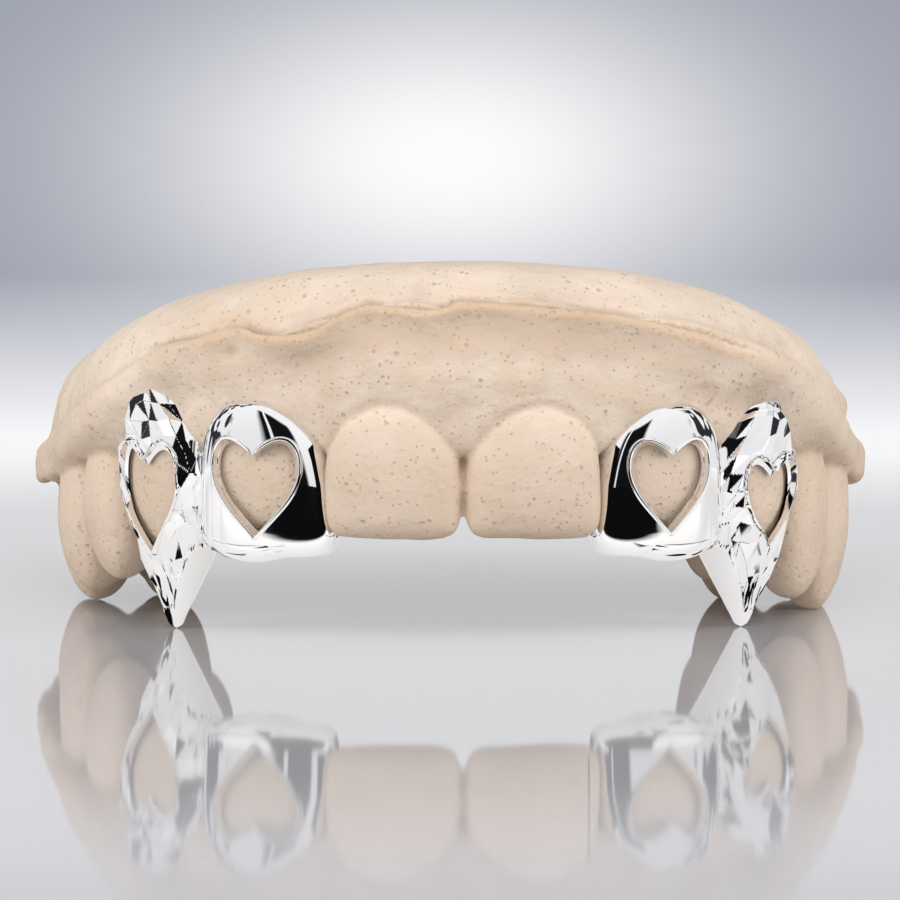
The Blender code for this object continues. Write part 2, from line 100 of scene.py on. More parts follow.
def through(knots, values, at):
    """Smooth curve through the knots that never overshoots them.

    Each slope at a knot is the harmonic mean of its two neighbours' slopes, or zero where
    they point opposite ways, and a cubic joins knot to knot.
    """
    knots, values = np.asarray(knots, float), np.asarray(values, float)
    width = np.diff(knots)
    slope = np.diff(values) / width
    product = slope[:-1] * slope[1:]
    total = np.where(product > 0, slope[:-1] + slope[1:], 1.0)
    inner = np.where(product > 0, 2 * product / total, 0.0)
    tangent = np.concatenate([slope[:1], inner, slope[-1:]])
    i = np.clip(np.searchsorted(knots, at, side="right") - 1, 0, len(knots) - 2)
    s = (at - knots[i]) / width[i]
    start = (1 + 2 * s) * (1 - s) ** 2 * values[i] + s * (1 - s) ** 2 * width[i] * tangent[i]
    return start + s * s * (3 - 2 * s) * values[i + 1] + s * s * (s - 1) * width[i] * tangent[i + 1]


def grid_faces(rows, columns, wrap=False):
    """Quads between neighbours of a grid; with wrap the last column meets the first."""
    number = np.arange(rows * columns).reshape(rows, columns)
    if wrap:
        number = np.concatenate([number, number[:, :1]], axis=1)
    corners = (number[:-1, :-1], number[:-1, 1:], number[1:, 1:], number[1:, :-1])
    return np.stack(corners, axis=-1).reshape(-1, 4)


def make_mesh(name, points, faces):
    """Mesh in the part's frame from points in arch millimetres, doubles merged, faces outwards."""
    mesh = bpy.data.meshes.new(name)
    points = np.asarray(points, float).reshape(-1, 3) + (0.0, ARCH_FRONT, 0.0)
    mesh.from_pydata((points * MM).tolist(), [], [list(face) for face in faces])
    bm = bmesh.new()
    bm.from_mesh(mesh)
    bmesh.ops.remove_doubles(bm, verts=bm.verts, dist=WELD * MM)
    bmesh.ops.recalc_face_normals(bm, faces=bm.faces)
    bm.to_mesh(mesh)
    bm.free()
    return mesh


def make_piece(name, mesh, material):
    """Object at the origin that shows the mesh in one material."""
    item = bpy.data.objects.new(name, mesh)
    bpy.context.scene.collection.objects.link(item)
    mesh.materials.clear()
    mesh.materials.append(material)
    mesh.polygons.foreach_set("use_smooth", [True] * len(mesh.polygons))
    return item


def settle(item):
    """Put an object's modifiers into its mesh."""
    bpy.context.view_layer.update()
    graph = bpy.context.evaluated_depsgraph_get()
    mesh = bpy.data.meshes.new_from_object(item.evaluated_get(graph), depsgraph=graph)
    item.modifiers.clear()
    item.data = mesh
    return item


def mirrored(points, side):
    """The points on the viewer's right, or with side -1 their mirror image on the left."""
    return np.asarray(points) * (side, 1.0, 1.0)


def rising(value, start, width):
    """0 up to start, then straight up to 1 over the width."""
    return np.clip((value - start) / width, 0.0, 1.0)


def falling(value, end, width):
    """1, then straight down over the width to 0 at end."""
    return np.clip((end - value) / width, 0.0, 1.0)


# %% [markdown]
# ## Noise
#
# Poured stone is never quite even. Blender has noise textures, but the shape itself should
# carry the larger lumps, so a small noise function moves the vertices: random values sit on
# a lattice, and each point blends the eight values round it.

# %% Noise
def soft_noise(points, grain, seed):
    """Noise between -1 and 1: lattice values, blended by the smoothstep of each offset."""
    cells = np.random.default_rng(seed).uniform(-1, 1, (24, 24, 24))
    place = np.asarray(points) / grain + 100
    base = np.floor(place).astype(int)
    part = place - base
    part = part * part * (3 - 2 * part)
    total = np.zeros(len(place))
    for corner in np.ndindex(2, 2, 2):
        weight = np.prod(np.where(corner, part, 1 - part), axis=1)
        x, y, z = ((base + corner) % 24).T
        total += weight * cells[x, y, z]
    return total


# %% [markdown]
# ## Shaders as formulas
#
# A Blender material is a graph of small nodes. A graph drawn by mouse can't be read in a
# script, so these helpers add a node, set or link its inputs, and hand back its output. The
# rest of the lesson then reads like formulas.

# %% Shader helpers
def node_maker(tree):
    """Function that adds a node to the tree and sets or links its inputs."""

    def node(kind, inputs=(), **settings):
        made = tree.nodes.new(kind)
        for key, value in settings.items():
            setattr(made, key, value)
        for socket, value in dict(inputs).items():
            if hasattr(value, "is_output"):
                tree.links.new(value, made.inputs[socket])
            else:
                made.inputs[socket].default_value = value
        return made

    return node


def new_material(name):
    """Material, its Principled shader, its node function and one that feeds the shader."""
    item = bpy.data.materials.new(name)
    item.use_nodes = True
    tree = item.node_tree
    shader = tree.nodes["Principled BSDF"]

    def feed(socket, output):
        tree.links.new(output, shader.inputs[socket])

    return item, shader, node_maker(tree), feed


def maths(node, operation, *values, clamp=False):
    """Output of one Math node over the values."""
    made = node("ShaderNodeMath", operation=operation, use_clamp=clamp,
                inputs=dict(enumerate(values)))
    return made.outputs[0]


def product(node, *factors):
    """All the factors multiplied together."""
    total = factors[0]
    for factor in factors[1:]:
        total = maths(node, "MULTIPLY", total, factor)
    return total


def noise(node, place, scale, detail):
    """Noise texture between 0 and 1, with its scale in lumps per metre."""
    made = node("ShaderNodeTexNoise", inputs={"Vector": place, "Scale": scale, "Detail": detail})
    return made.outputs["Fac"]


def mixed(node, factor, first, second):
    """Colour that runs from the first to the second as the factor goes from 0 to 1."""
    made = node("ShaderNodeMix", data_type="RGBA", inputs={0: factor, 6: first, 7: second})
    return made.outputs[2]


def ranged(node, value, low, high, to_low=0.0, to_high=1.0):
    """Value moved from one range to another and held inside it."""
    made = node("ShaderNodeMapRange", inputs={0: value, 1: low, 2: high, 3: to_low, 4: to_high})
    return made.outputs[0]


# %% [markdown]
# ## Die stone
#
# Die stone is a fine plaster: matt and a little warm. Its colour is paler from the gum line up
# than on the teeth below. Air leaves pinholes in it, and worn rims turn tan. Hollows get painted
# shade, and so does a band under the ledge, which is partly a tan residue too. A Voronoi texture
# has one dot in every cell. Dots of two sizes, kept only where a noise is high, make the
# pinholes: each one is painted dark as shade in the hole, and dents the surface through a bump.
# Drilled holes would be truer, but at a tenth of a millimetre nobody sees the difference.

# %% Dental stone
PINHOLES = ((1150.0, 0.48, 0.58), (2200.0, 0.32, 0.46))
PINHOLE_REACH = (0.19, 0.11)
GUM_TONE_FROM, GUM_TONE_TO = 0.0105, 0.0150
BUMP_DEPTH = 0.00014


def pinholes(node, place, where):
    """Share of pinhole: dots at two scales, each between two limits of the where noise."""
    hole = 0.0
    for cells_per_metre, low, high in PINHOLES:
        cells = node("ShaderNodeTexVoronoi", inputs={"Vector": place, "Scale": cells_per_metre})
        dot = ranged(node, cells.outputs["Distance"], *PINHOLE_REACH)
        hole = maths(node, "MULTIPLY_ADD", dot, ranged(node, where, low, high), hole, clamp=True)
    return hole


def stone_colour(node, place, cloud, hole):
    """Pale and deep clouds, tan wear, painted shade in hollows and pinholes, shade and residue under
    the ledge.
    """
    height = node("ShaderNodeSeparateXYZ", inputs={0: place}).outputs[2]
    gum = ranged(node, height, GUM_TONE_FROM, GUM_TONE_TO)
    pale = mixed(node, gum, (0.700, 0.568, 0.450, 1), (0.800, 0.668, 0.545, 1))
    deep = mixed(node, gum, (0.640, 0.508, 0.392, 1), (0.715, 0.582, 0.462, 1))
    colour = mixed(node, ranged(node, cloud, 0.38, 0.66), pale, deep)
    wear = node("ShaderNodeAttribute", attribute_name="wear").outputs["Fac"]
    # hollow is a share of painted shade: in concave places, and in the band under the ledge, which is
    # partly a tan residue.
    hollow = node("ShaderNodeAttribute", attribute_name="hollow").outputs["Fac"]
    # The hollow tone is painted shade, the pinhole tone is painted shade in the holes, and the wear
    # tone is real tan wear.
    for share, most, tone in ((wear, 0.55, (0.62, 0.42, 0.25, 1)),
                              (hollow, 0.60, (0.40, 0.27, 0.17, 1)),
                              (hole, 0.75, (0.54, 0.40, 0.28, 1))):
        colour = mixed(node, ranged(node, share, 0.0, 1.0, 0.0, most), colour, tone)
    return colour


def dental_stone():
    """Stone: its colour, a bump of grit, lumps and pinholes, and a little light inside it."""
    item, shader, node, feed = new_material("dental_stone")
    place = node("ShaderNodeTexCoord").outputs["Object"]
    cloud, grit, where = (noise(node, place, scale, detail)
                          for scale, detail in ((160.0, 4.0), (2600.0, 3.0), (700.0, 1.0)))
    hole = pinholes(node, place, where)
    feed("Base Color", stone_colour(node, place, cloud, hole))
    height = maths(node, "MULTIPLY_ADD", hole, -1.0, grit)
    height = maths(node, "MULTIPLY_ADD", where, 1.6, height)
    bump = node("ShaderNodeBump",
                inputs={"Height": height, "Strength": 0.60, "Distance": BUMP_DEPTH})
    feed("Normal", bump.outputs[0])
    feed("Roughness", ranged(node, grit, 0.3, 0.7, 0.62, 0.80))
    shader.inputs["Specular IOR Level"].default_value = 0.35
    shader.inputs["Subsurface Weight"].default_value = 0.12
    shader.inputs["Subsurface Radius"].default_value = (0.0012, 0.0008, 0.0005)
    shader.inputs["Subsurface Scale"].default_value = 1.0
    return item


STONE = dental_stone()
print("stone shader nodes:", len(STONE.node_tree.nodes))


# %% [markdown]
# ## Polished silver
#
# Silver from the polishing wheel is a mirror with a faint haze. With one constant roughness it
# would look like a computer's chrome, so a slow noise varies its roughness and tone a little.

# %% Polished silver
def polished_silver():
    """Metal whose roughness and tone follow one haze."""
    item, shader, node, feed = new_material("polished_silver")
    haze = noise(node, node("ShaderNodeTexCoord").outputs["Object"], 500.0, 3.0)
    feed("Roughness", ranged(node, haze, 0.35, 0.70, 0.025, 0.070))
    feed("Base Color", mixed(node, haze, (0.90, 0.89, 0.885, 1), (0.955, 0.955, 0.96, 1)))
    shader.inputs["Metallic"].default_value = 1.0
    return item


SILVER = polished_silver()
print("silver shader nodes:", len(SILVER.node_tree.nodes))

# %% [markdown]
# ## Camera first
#
# The camera stands where the photograph's camera stood: a degree and a half off the middle,
# four degrees above the table, and far away with a long lens, so the two sides look alike. It
# comes before any shape, because every later step is judged through it.

# %% Camera
CAMERA_TURN = math.radians(-1.5)
CAMERA_RISE = math.radians(4.0)
CAMERA_DISTANCE = 0.300
CAMERA_TARGET = Vector((-0.00085, -0.02296, 0.01205))
CAMERA_LENS = 195.6

look = Vector((-math.sin(CAMERA_TURN) * math.cos(CAMERA_RISE),
               math.cos(CAMERA_TURN) * math.cos(CAMERA_RISE), -math.sin(CAMERA_RISE)))
camera_data = bpy.data.cameras.new("camera")
camera_data.lens = CAMERA_LENS
camera_data.sensor_width = 36.0
camera_data.clip_start = 0.01
camera = bpy.data.objects.new("camera", camera_data)
camera.location = CAMERA_TARGET - look * CAMERA_DISTANCE
camera.rotation_mode = "QUATERNION"
camera.rotation_quaternion = look.to_track_quat("-Z", "Y")
bpy.context.scene.collection.objects.link(camera)
bpy.context.scene.camera = camera
bpy.context.scene.view_settings.view_transform = "Standard"
print("camera at", [round(value, 4) for value in camera.location])

# %% [markdown]
# ## Soft light
#
# A product studio lights stone with large soft boxes. A weak one hangs above, one stands high
# in front, a small one low in front opens the shadows under the gum, and one on each side
# draws the roundness of the arch. Mirrors don't see them, because a box's hard outline would
# cross the silver. The world draws what metal reflects instead.

# %% Lights
PANELS = {
    "panel_above": dict(place=(0.0, -0.20, 0.46), size=(0.50, 0.36), power=0.10),
    "panel_front": dict(place=(0.0, -0.42, 0.38), size=(0.40, 0.24), power=0.9),
    "panel_low": dict(place=(-0.08, -0.60, 0.06), size=(0.30, 0.14), power=0.5),
    "panel_left": dict(place=(-0.46, -0.22, 0.16), size=(0.26, 0.34), power=1.4),
    "panel_right": dict(place=(0.46, -0.22, 0.16), size=(0.26, 0.34), power=1.4)}
PANEL_AIM = Vector((0, 0, 0.01))


def soft_panel(name, place, size, power):
    """Rectangular area light that faces the object."""
    data = bpy.data.lights.new(name, "AREA")
    data.shape = "RECTANGLE"
    data.size, data.size_y = size
    data.energy = power
    item = bpy.data.objects.new(name, data)
    item.location = place
    item.rotation_mode = "QUATERNION"
    item.rotation_quaternion = (PANEL_AIM - Vector(place)).to_track_quat("-Z", "Y")
    item.visible_glossy = False
    bpy.context.scene.collection.objects.link(item)


for panel, values in PANELS.items():
    soft_panel(panel, **values)
print("light in watts:", round(sum(values["power"] for values in PANELS.values()), 2))


# %% [markdown]
# ## Backdrop for the camera
#
# The photograph's backdrop is white at the horizon and grey-blue above, with a glow in the
# middle. A painted wall would stand in the mirrors too. A world colour that only camera rays
# see does not. It depends on the ray's direction alone: x to the right, y away, z up.

# %% Backdrop
GLOW = dict(x=0.026, z=-0.010, half_width=0.062, half_height=0.033)


def backdrop(node, x, z):
    """Wall from white to grey-blue, and a glow exp(-(a^2 + b^2)) round the glow's middle."""
    haze = ranged(node, z, -0.066, -0.034)
    wall = mixed(node, haze, (0.93, 0.93, 0.955, 1), (0.32, 0.345, 0.41, 1))
    wall = mixed(node, ranged(node, z, -0.11, -0.16), wall, (0.56, 0.57, 0.63, 1))
    a = maths(node, "DIVIDE", maths(node, "SUBTRACT", x, GLOW["x"]), GLOW["half_width"])
    b = maths(node, "DIVIDE", maths(node, "SUBTRACT", z, GLOW["z"]), GLOW["half_height"])
    far = maths(node, "ADD", maths(node, "POWER", a, 2.0), maths(node, "POWER", b, 2.0))
    glow = maths(node, "EXPONENT", maths(node, "MULTIPLY", far, -1.0))
    return mixed(node, glow, wall, (0.99, 0.98, 0.99, 1))


# %% [markdown]
# ## Room for the mirrors
#
# Polished metal shows what stands round it, so a photographer sets up white walls and black
# flags. Here both are functions of direction. The room is white. Soft black gaps stand at its
# sides, where a noise is low. A low black flag stands in front, with an upright white slit,
# and draws the black field with its bright line on each smooth cap.

# %% Mirror room
GAPS_PER_ROOM = 5.5
GAP_NOISE = (0.490, 0.455)
GAP_START, GAP_END = (1.15, 1.30), (2.50, 2.20)
FLAG_RIGHT, FLAG_LEFT = (0.28, 0.18), (-0.76, -0.64)
FLAG_TOP = (0.70, 0.64)
SLIT_AT = 0.50
SLIT_EDGE = (0.030, 0.045)


def mirror_room(node, way, x, y, z):
    """White room, times the gaps at its sides, times the flag in front less its slit."""
    room = mixed(node, ranged(node, z, -0.1, 0.5), (0.84, 0.84, 0.87, 1), (0.97, 0.97, 0.98, 1))
    azimuth = maths(node, "ARCTAN2", x, maths(node, "MULTIPLY", y, -1.0))
    aside = maths(node, "ABSOLUTE", azimuth)
    gap = product(node, ranged(node, noise(node, way, GAPS_PER_ROOM, 0.0), *GAP_NOISE),
                  ranged(node, aside, *GAP_START), ranged(node, aside, *GAP_END))
    room = mixed(node, gap, room, (0.03, 0.03, 0.035, 1))
    slit = maths(node, "ABSOLUTE", maths(node, "SUBTRACT", aside, SLIT_AT))
    flag = product(node, ranged(node, azimuth, *FLAG_RIGHT), ranged(node, azimuth, *FLAG_LEFT),
                   ranged(node, slit, *SLIT_EDGE), ranged(node, z, *FLAG_TOP))
    return mixed(node, flag, room, (0.006, 0.006, 0.007, 1))


# %% [markdown]
# ## One world for three kinds of ray
#
# Camera rays get the backdrop and glossy rays the mirror room. All others get a weak, even
# dome, so that the panels draw the stone's relief and the dome only fills its shadows.

# %% World
def studio_world():
    """World whose colour depends on the kind of ray and on its direction."""
    world = bpy.data.worlds.new("studio")
    world.use_nodes = True
    bpy.context.scene.world = world
    tree = world.node_tree
    node = node_maker(tree)
    way = node("ShaderNodeTexCoord").outputs["Generated"]
    x, y, z = node("ShaderNodeSeparateXYZ", inputs={0: way}).outputs
    dome = mixed(node, ranged(node, z, -0.3, 0.7), (0.46, 0.46, 0.47, 1), (0.40, 0.40, 0.42, 1))
    ray = node("ShaderNodeLightPath").outputs
    colour = mixed(node, ray["Is Glossy Ray"], dome, mirror_room(node, way, x, y, z))
    colour = mixed(node, ray["Is Camera Ray"], colour, backdrop(node, x, z))
    background = tree.nodes["Background"]
    tree.links.new(colour, background.inputs["Color"])
    background.inputs["Strength"].default_value = 1.0
    return world


print("world shader nodes:", len(studio_world().node_tree.nodes))


# %% [markdown]
# ## Dark cards beside the caps
#
# Where a cap meets the front tooth next to it, the photograph has a dark contact. Mirrored
# stone would be beige there, so a small black card stands in each contact, and only mirrors
# see it: it paints a dark reflection into each cap. Photographers slip in such cards too.

# %% Dark cards
CARD_ACROSS = 7.75
CARD_START = (-1.9, 7.0)
CARD_SIZE = (3.9, 6.2)


def painted_reflection_card(name, side):
    """Flat black card, a painted dark reflection for mirrors: corner + share * depth + share * height,
    in mm.
    """
    item, shader, _, _ = new_material(name)
    shader.inputs["Base Color"].default_value = (0.004, 0.004, 0.005, 1)
    shader.inputs["Specular IOR Level"].default_value = 0.0
    share = np.linspace(0.0, 1.0, 5)
    points = (np.array([side * CARD_ACROSS, *CARD_START])
              + share[:, None, None] * np.array([0, 0, CARD_SIZE[1]])
              + share[None, :, None] * np.array([0, CARD_SIZE[0], 0]))
    card = make_piece(name, make_mesh(name, points, grid_faces(5, 5)), item)
    # Only mirrors see the card: it paints a dark reflection into the cap beside it.
    card.visible_camera = card.visible_diffuse = card.visible_shadow = False
    card.visible_transmission = card.visible_volume_scatter = False
    return card


for word, side in (("right", 1), ("left", -1)):
    painted_reflection_card("card_contact_" + word, side)
print("cards beside the caps: 2")


# %% [markdown]
# ## Table
#
# The table is a pale gloss top. Its rim fades out, so no edge crosses the picture. The silver
# faces down towards it, and a plain grey table would make the lips and fangs dull. So for
# mirrors only it is mixed with white light, stronger further in front: a painted bright
# reflection. A black apron in front of the incisors and black patches beside the fangs, which
# only mirrors see, are painted dark reflections that give the facets their contrast.

# %% Table
TABLE_RADIUS = 160.0
TABLE_DROP = 0.02
TABLE_FADE = (0.085, 0.150)
MIRROR_WHITE = 0.55
APRON_SLANT = 0.80
APRON_SIDE, APRON_START = (0.006, 0.000), (-0.034, -0.038)
PATCHES_PER_METRE = 150.0
PATCH_NOISE = (0.50, 0.48)
PATCH_SIDE, PATCH_START = (0.0145, 0.0165), (-0.067, -0.064)


def painted_dark_reflection(node, place, x, y):
    """Share of painted dark reflection: the apron, where |x| + slant * y is low, or a patch, from a
    noise.
    """
    side = maths(node, "ABSOLUTE", x)
    apron = product(node, ranged(node, maths(node, "MULTIPLY_ADD", y, APRON_SLANT, side), *APRON_SIDE),
                    ranged(node, y, *APRON_START))
    patch = product(node, ranged(node, noise(node, place, PATCHES_PER_METRE, 0.0), *PATCH_NOISE),
                    ranged(node, side, *PATCH_SIDE),
                    ranged(node, maths(node, "MULTIPLY_ADD", side, -2.0, y), *PATCH_START))
    return maths(node, "MAXIMUM", apron, patch)


def table_gloss():
    """Pale gloss that fades out at the rim, and the painted glow and black that mirrors see of it."""
    item, shader, node, _ = new_material("table_gloss")
    shader.inputs["Base Color"].default_value = (0.54, 0.54, 0.555, 1)
    shader.inputs["Roughness"].default_value = 0.045
    shader.inputs["IOR"].default_value = 1.34
    place = node("ShaderNodeTexCoord").outputs["Object"]
    x, y, _ = node("ShaderNodeSeparateXYZ", inputs={0: place}).outputs
    mirror = node("ShaderNodeLightPath").outputs["Is Glossy Ray"]
    away = node("ShaderNodeVectorMath", operation="LENGTH", inputs={0: place}).outputs["Value"]
    clear = node("ShaderNodeBsdfTransparent")
    power = ranged(node, y, -0.022, -0.040, 1.3, 1.8)
    white = node("ShaderNodeEmission", inputs={"Color": (0.96, 0.95, 0.93, 1), "Strength": power})
    black = node("ShaderNodeBsdfDiffuse", inputs={"Color": (0.004, 0.004, 0.005, 1)})
    # Mirrors only: a painted white glow, and painted black reflections over it.
    layers = ((ranged(node, away, *TABLE_FADE), clear),
              (product(node, mirror, MIRROR_WHITE), white),
              (product(node, mirror, painted_dark_reflection(node, place, x, y)), black))
    surface = shader
    for share, layer in layers:
        surface = node("ShaderNodeMixShader",
                       inputs={0: share, 1: surface.outputs[0], 2: layer.outputs[0]})
    tree = item.node_tree
    tree.links.new(surface.outputs[0], tree.nodes["Material Output"].inputs[0])
    return item


def table_top():
    """Disc of rings and spokes, just under the tooth tips."""
    radius = np.linspace(0.0, TABLE_RADIUS, 9)[:, None]
    angle = np.linspace(0.0, 2 * math.pi, 96, endpoint=False)[None, :]
    points = np.stack([radius * np.cos(angle), radius * np.sin(angle) - ARCH_FRONT,
                       np.full((9, 96), -TABLE_DROP)], axis=-1)
    mesh = make_mesh("table_top", points, grid_faces(9, 96, True))
    return make_piece("table_top", mesh, table_gloss())


table_top()
print("table radius in mm:", TABLE_RADIUS)

# %% [markdown]
# ## Crowns
#
# A crown is a stack of rings, from the biting edge up to the neck. Each ring is a squared
# circle, |x| ^ p + |y| ^ p = 1, stretched by its own half width along the arch and its own
# reach to the lip and to the palate. A short table gives those shares for a few heights, and
# a smooth curve through them gives every height between, so one function makes all the teeth
# and, grown by a wall, the caps over them.

# %% Crown tables
SQUARENESS = 2.5
GUM_EDGE = 11.3
FRONT_BULGE = 2.0
FRONT_DEPTH = 4.4
CUSP_BULGE = 2.4
CUSP_SPAN = 5.6

INCISOR = dict(
    height=(-0.012, 0.00, 0.04, 0.14, 0.38, 0.60, 0.76, 0.88, 0.97, 1.00, 1.01),
    width=(0.00, 0.72, 0.90, 0.985, 1.00, 0.95, 0.83, 0.64, 0.37, 0.18, 0.00),
    facial=(0.00, 0.14, 0.40, 0.66, 0.92, 1.00, 1.00, 0.97, 0.86, 0.60, 0.00),
    palatal=(0.00, 0.04, 0.12, 0.22, 0.42, 0.76, 0.95, 1.00, 0.94, 0.70, 0.00))
SIDE_INCISOR = dict(
    height=(-0.012, 0.00, 0.04, 0.14, 0.38, 0.60, 0.76, 0.88, 0.97, 1.00, 1.01),
    width=(0.00, 0.70, 0.88, 0.98, 1.00, 0.98, 0.90, 0.74, 0.47, 0.20, 0.00),
    facial=(0.00, 0.14, 0.38, 0.66, 0.92, 1.00, 1.00, 0.97, 0.86, 0.60, 0.00),
    palatal=(0.00, 0.04, 0.12, 0.22, 0.42, 0.76, 0.95, 1.00, 0.94, 0.70, 0.00))
SMOOTH_CAP = dict(
    height=(-0.030, 0.00, 0.05, 0.14, 0.34, 0.58, 0.76, 0.88, 0.96, 1.00, 1.01),
    width=(0.00, 0.84, 0.95, 0.99, 1.00, 0.98, 0.91, 0.77, 0.56, 0.29, 0.00),
    facial=(0.00, 0.80, 0.90, 0.95, 1.00, 1.04, 1.03, 0.98, 0.88, 0.62, 0.00),
    palatal=(0.00, 0.20, 0.26, 0.32, 0.46, 0.76, 0.95, 1.00, 0.94, 0.70, 0.00))
CANINE = dict(
    height=(-0.010, 0.00, 0.06, 0.18, 0.36, 0.58, 0.77, 0.90, 0.98, 1.00, 1.01),
    width=(0.00, 0.10, 0.32, 0.62, 0.88, 1.00, 0.90, 0.66, 0.38, 0.18, 0.00),
    facial=(0.00, 0.14, 0.40, 0.70, 0.92, 1.00, 1.00, 0.97, 0.86, 0.60, 0.00),
    palatal=(0.00, 0.10, 0.22, 0.46, 0.76, 0.96, 1.00, 0.98, 0.90, 0.70, 0.00))
FANG = dict(
    height=(0.000, 0.012, 0.060, 0.185, 0.340, 0.480, 0.620, 0.780, 0.890, 0.965, 1.000),
    width=(0.000, 0.080, 0.175, 0.400, 0.640, 0.860, 1.000, 0.900, 0.700, 0.430, 0.150),
    facial=(0.000, 0.110, 0.240, 0.550, 0.820, 0.960, 1.020, 1.040, 1.020, 0.900, 0.550),
    palatal=(0.000, 0.070, 0.140, 0.320, 0.560, 0.800, 0.940, 1.000, 1.000, 0.920, 0.700))
CUSP = dict(
    height=(-0.012, 0.00, 0.06, 0.24, 0.58, 0.88, 1.00, 1.02),
    width=(0.00, 0.22, 0.50, 0.82, 1.00, 0.88, 0.55, 0.00),
    facial=(0.00, 0.20, 0.46, 0.78, 1.00, 0.94, 0.60, 0.00),
    palatal=(0.00, 0.22, 0.50, 0.82, 1.00, 0.95, 0.70, 0.00))
CORE = dict(
    height=(-0.010, 0.00, 0.12, 0.50, 1.00, 1.02),
    width=(0.00, 0.60, 0.90, 1.00, 0.72, 0.00),
    facial=(0.00, 0.62, 0.90, 1.00, 0.76, 0.00),
    palatal=(0.00, 0.62, 0.90, 1.00, 0.80, 0.00))


def crown(table, place, width, facial, palatal, tip, neck, face=0.95, inside=0.0, near=1.0):
    """One tooth: its table of shares, its place on the arch and its sizes in millimetres.

    near stretches the half of the crown that faces the front teeth's midline.
    """
    x, y, turn = (float(value) for value in on_arch(place))
    turn *= face
    outward = np.array([math.sin(turn), -math.cos(turn), 0.0])
    return dict(table=table, width=width, facial=facial, palatal=palatal, tip=tip, neck=neck,
                near=near, foot=np.array([x, y, 0.0]) - outward * inside, outward=outward,
                along=np.array([math.cos(turn), math.sin(turn), 0.0]))


def row_value(tooth, column, level):
    """A column of a crown's table at a level: 0 at its first row, 1 at its last."""
    rows = tooth["table"][column]
    return through(np.linspace(0.0, 1.0, len(rows)), rows, level)


def stretch(tooth, across, level):
    """Factor on the half that faces the midline: near, easing to 1 towards the neck."""
    share = np.clip((0.80 - level) / 0.35, 0.0, 1.0)
    return np.where(across < 0, 1 + (tooth["near"] - 1) * share, 1.0)


def crown_point(tooth, angle, level, grow=0.0):
    """Surface of a crown: angle goes round it from the far side of the arch, level goes up.

    grow pushes it outwards on all sides, but for a fang's tip, which stands on the table.
    """
    cosine, sine = np.cos(angle), np.sin(angle)
    size = (np.abs(cosine) ** SQUARENESS + np.abs(sine) ** SQUARENESS) ** (-1 / SQUARENESS)
    half = (tooth["width"] / 2 + grow) * row_value(tooth, "width", level)
    half = half * stretch(tooth, cosine, level)
    lip = (tooth["facial"] + grow) * row_value(tooth, "facial", level)
    palate = (tooth["palatal"] + grow) * row_value(tooth, "palatal", level)
    reach = np.where(sine > 0, lip, palate)
    low = tooth["tip"] - (0.0 if tooth["table"] is FANG else grow)
    high = tooth["neck"] + grow
    height = low + (high - low) * row_value(tooth, "height", level)
    return (tooth["foot"] + (cosine * size * half)[..., None] * tooth["along"]
            + (sine * size * reach)[..., None] * tooth["outward"]
            + height[..., None] * np.array([0.0, 0.0, 1.0]))


LATERAL_TIP = 6.0
LATERAL_SEAT = dict(place=0.2240, width=6.6, facial=FRONT_BULGE, palatal=FRONT_DEPTH, face=0.80)
CANINE_SEAT = dict(place=0.3560, width=7.0, facial=FRONT_BULGE * 1.1, palatal=FRONT_DEPTH)
CENTRAL = crown(INCISOR, 0.0745, 8.5, FRONT_BULGE, FRONT_DEPTH, 6.4, 15.0, face=0.55)
LATERAL = crown(SIDE_INCISOR, tip=LATERAL_TIP, neck=13.9, near=1.15, **LATERAL_SEAT)
EYE_TOOTH = crown(CANINE, tip=4.0, neck=14.4, **CANINE_SEAT)

BACK_TEETH = dict(
    table=(CORE, CUSP, CUSP, CORE, CUSP, CUSP, CORE, CUSP, CUSP, CUSP, CUSP, CORE, CUSP, CUSP,
           CUSP, CUSP),
    place=(0.479, 0.478, 0.480, 0.569, 0.568, 0.570, 0.697, 0.655, 0.735, 0.662, 0.742, 0.865,
           0.828, 0.902, 0.832, 0.902),
    inside=(0.50, 0.00, 1.00, 0.50, 0.00, 1.00, 0.67, 0.20, 0.22, 1.15, 1.10, 0.68, 0.25, 0.35,
            1.15, 1.05),
    width=(5.8, 5.8, 5.2, 5.8, 5.8, 5.2, 9.8, 5.6, 5.6, 5.6, 5.6, 9.0, 5.6, 5.0, 5.6, 5.0),
    lip=(1.40, 0.90, 1.20, 1.40, 0.92, 1.20, 1.75, 0.95, 0.92, 1.20, 1.20, 1.60, 0.92, 0.85,
         1.20, 1.20),
    palate=(1.40, 1.20, 0.92, 1.40, 1.20, 0.95, 1.75, 1.20, 1.20, 1.05, 0.95, 1.60, 1.20, 1.20,
            0.95, 0.85),
    tip=(0.32, 0.11, 0.19, 0.24, 0.00, 0.07, 0.19, 0.03, 0.04, 0.00, 0.05, 0.22, 0.07, 0.13,
         0.05, 0.13),
    neck=(0.95, 0.98, 0.90, 0.86, 0.90, 0.86, 0.76, 0.80, 0.76, 0.80, 0.76, 0.74, 0.74, 0.72,
          0.74, 0.72))
PREMOLAR_ROWS = 6
LEFT_PREMOLAR_LIFT = 1.4


def back_teeth(side):
    """Premolars and molars of one side, each a core with a cusp at every corner."""
    teeth = []
    for number, row in enumerate(zip(*BACK_TEETH.values())):
        table, place, inside, width, lip, palate, tip, neck = row
        lift = LEFT_PREMOLAR_LIFT if side < 0 and number < PREMOLAR_ROWS else 0.0
        teeth.append(crown(table, place, width, CUSP_BULGE * lip, CUSP_BULGE * palate,
                           GUM_EDGE * tip + lift, GUM_EDGE * neck, inside=CUSP_SPAN * inside))
    return teeth


print("bodies on each side:", 3 + len(BACK_TEETH["table"]))


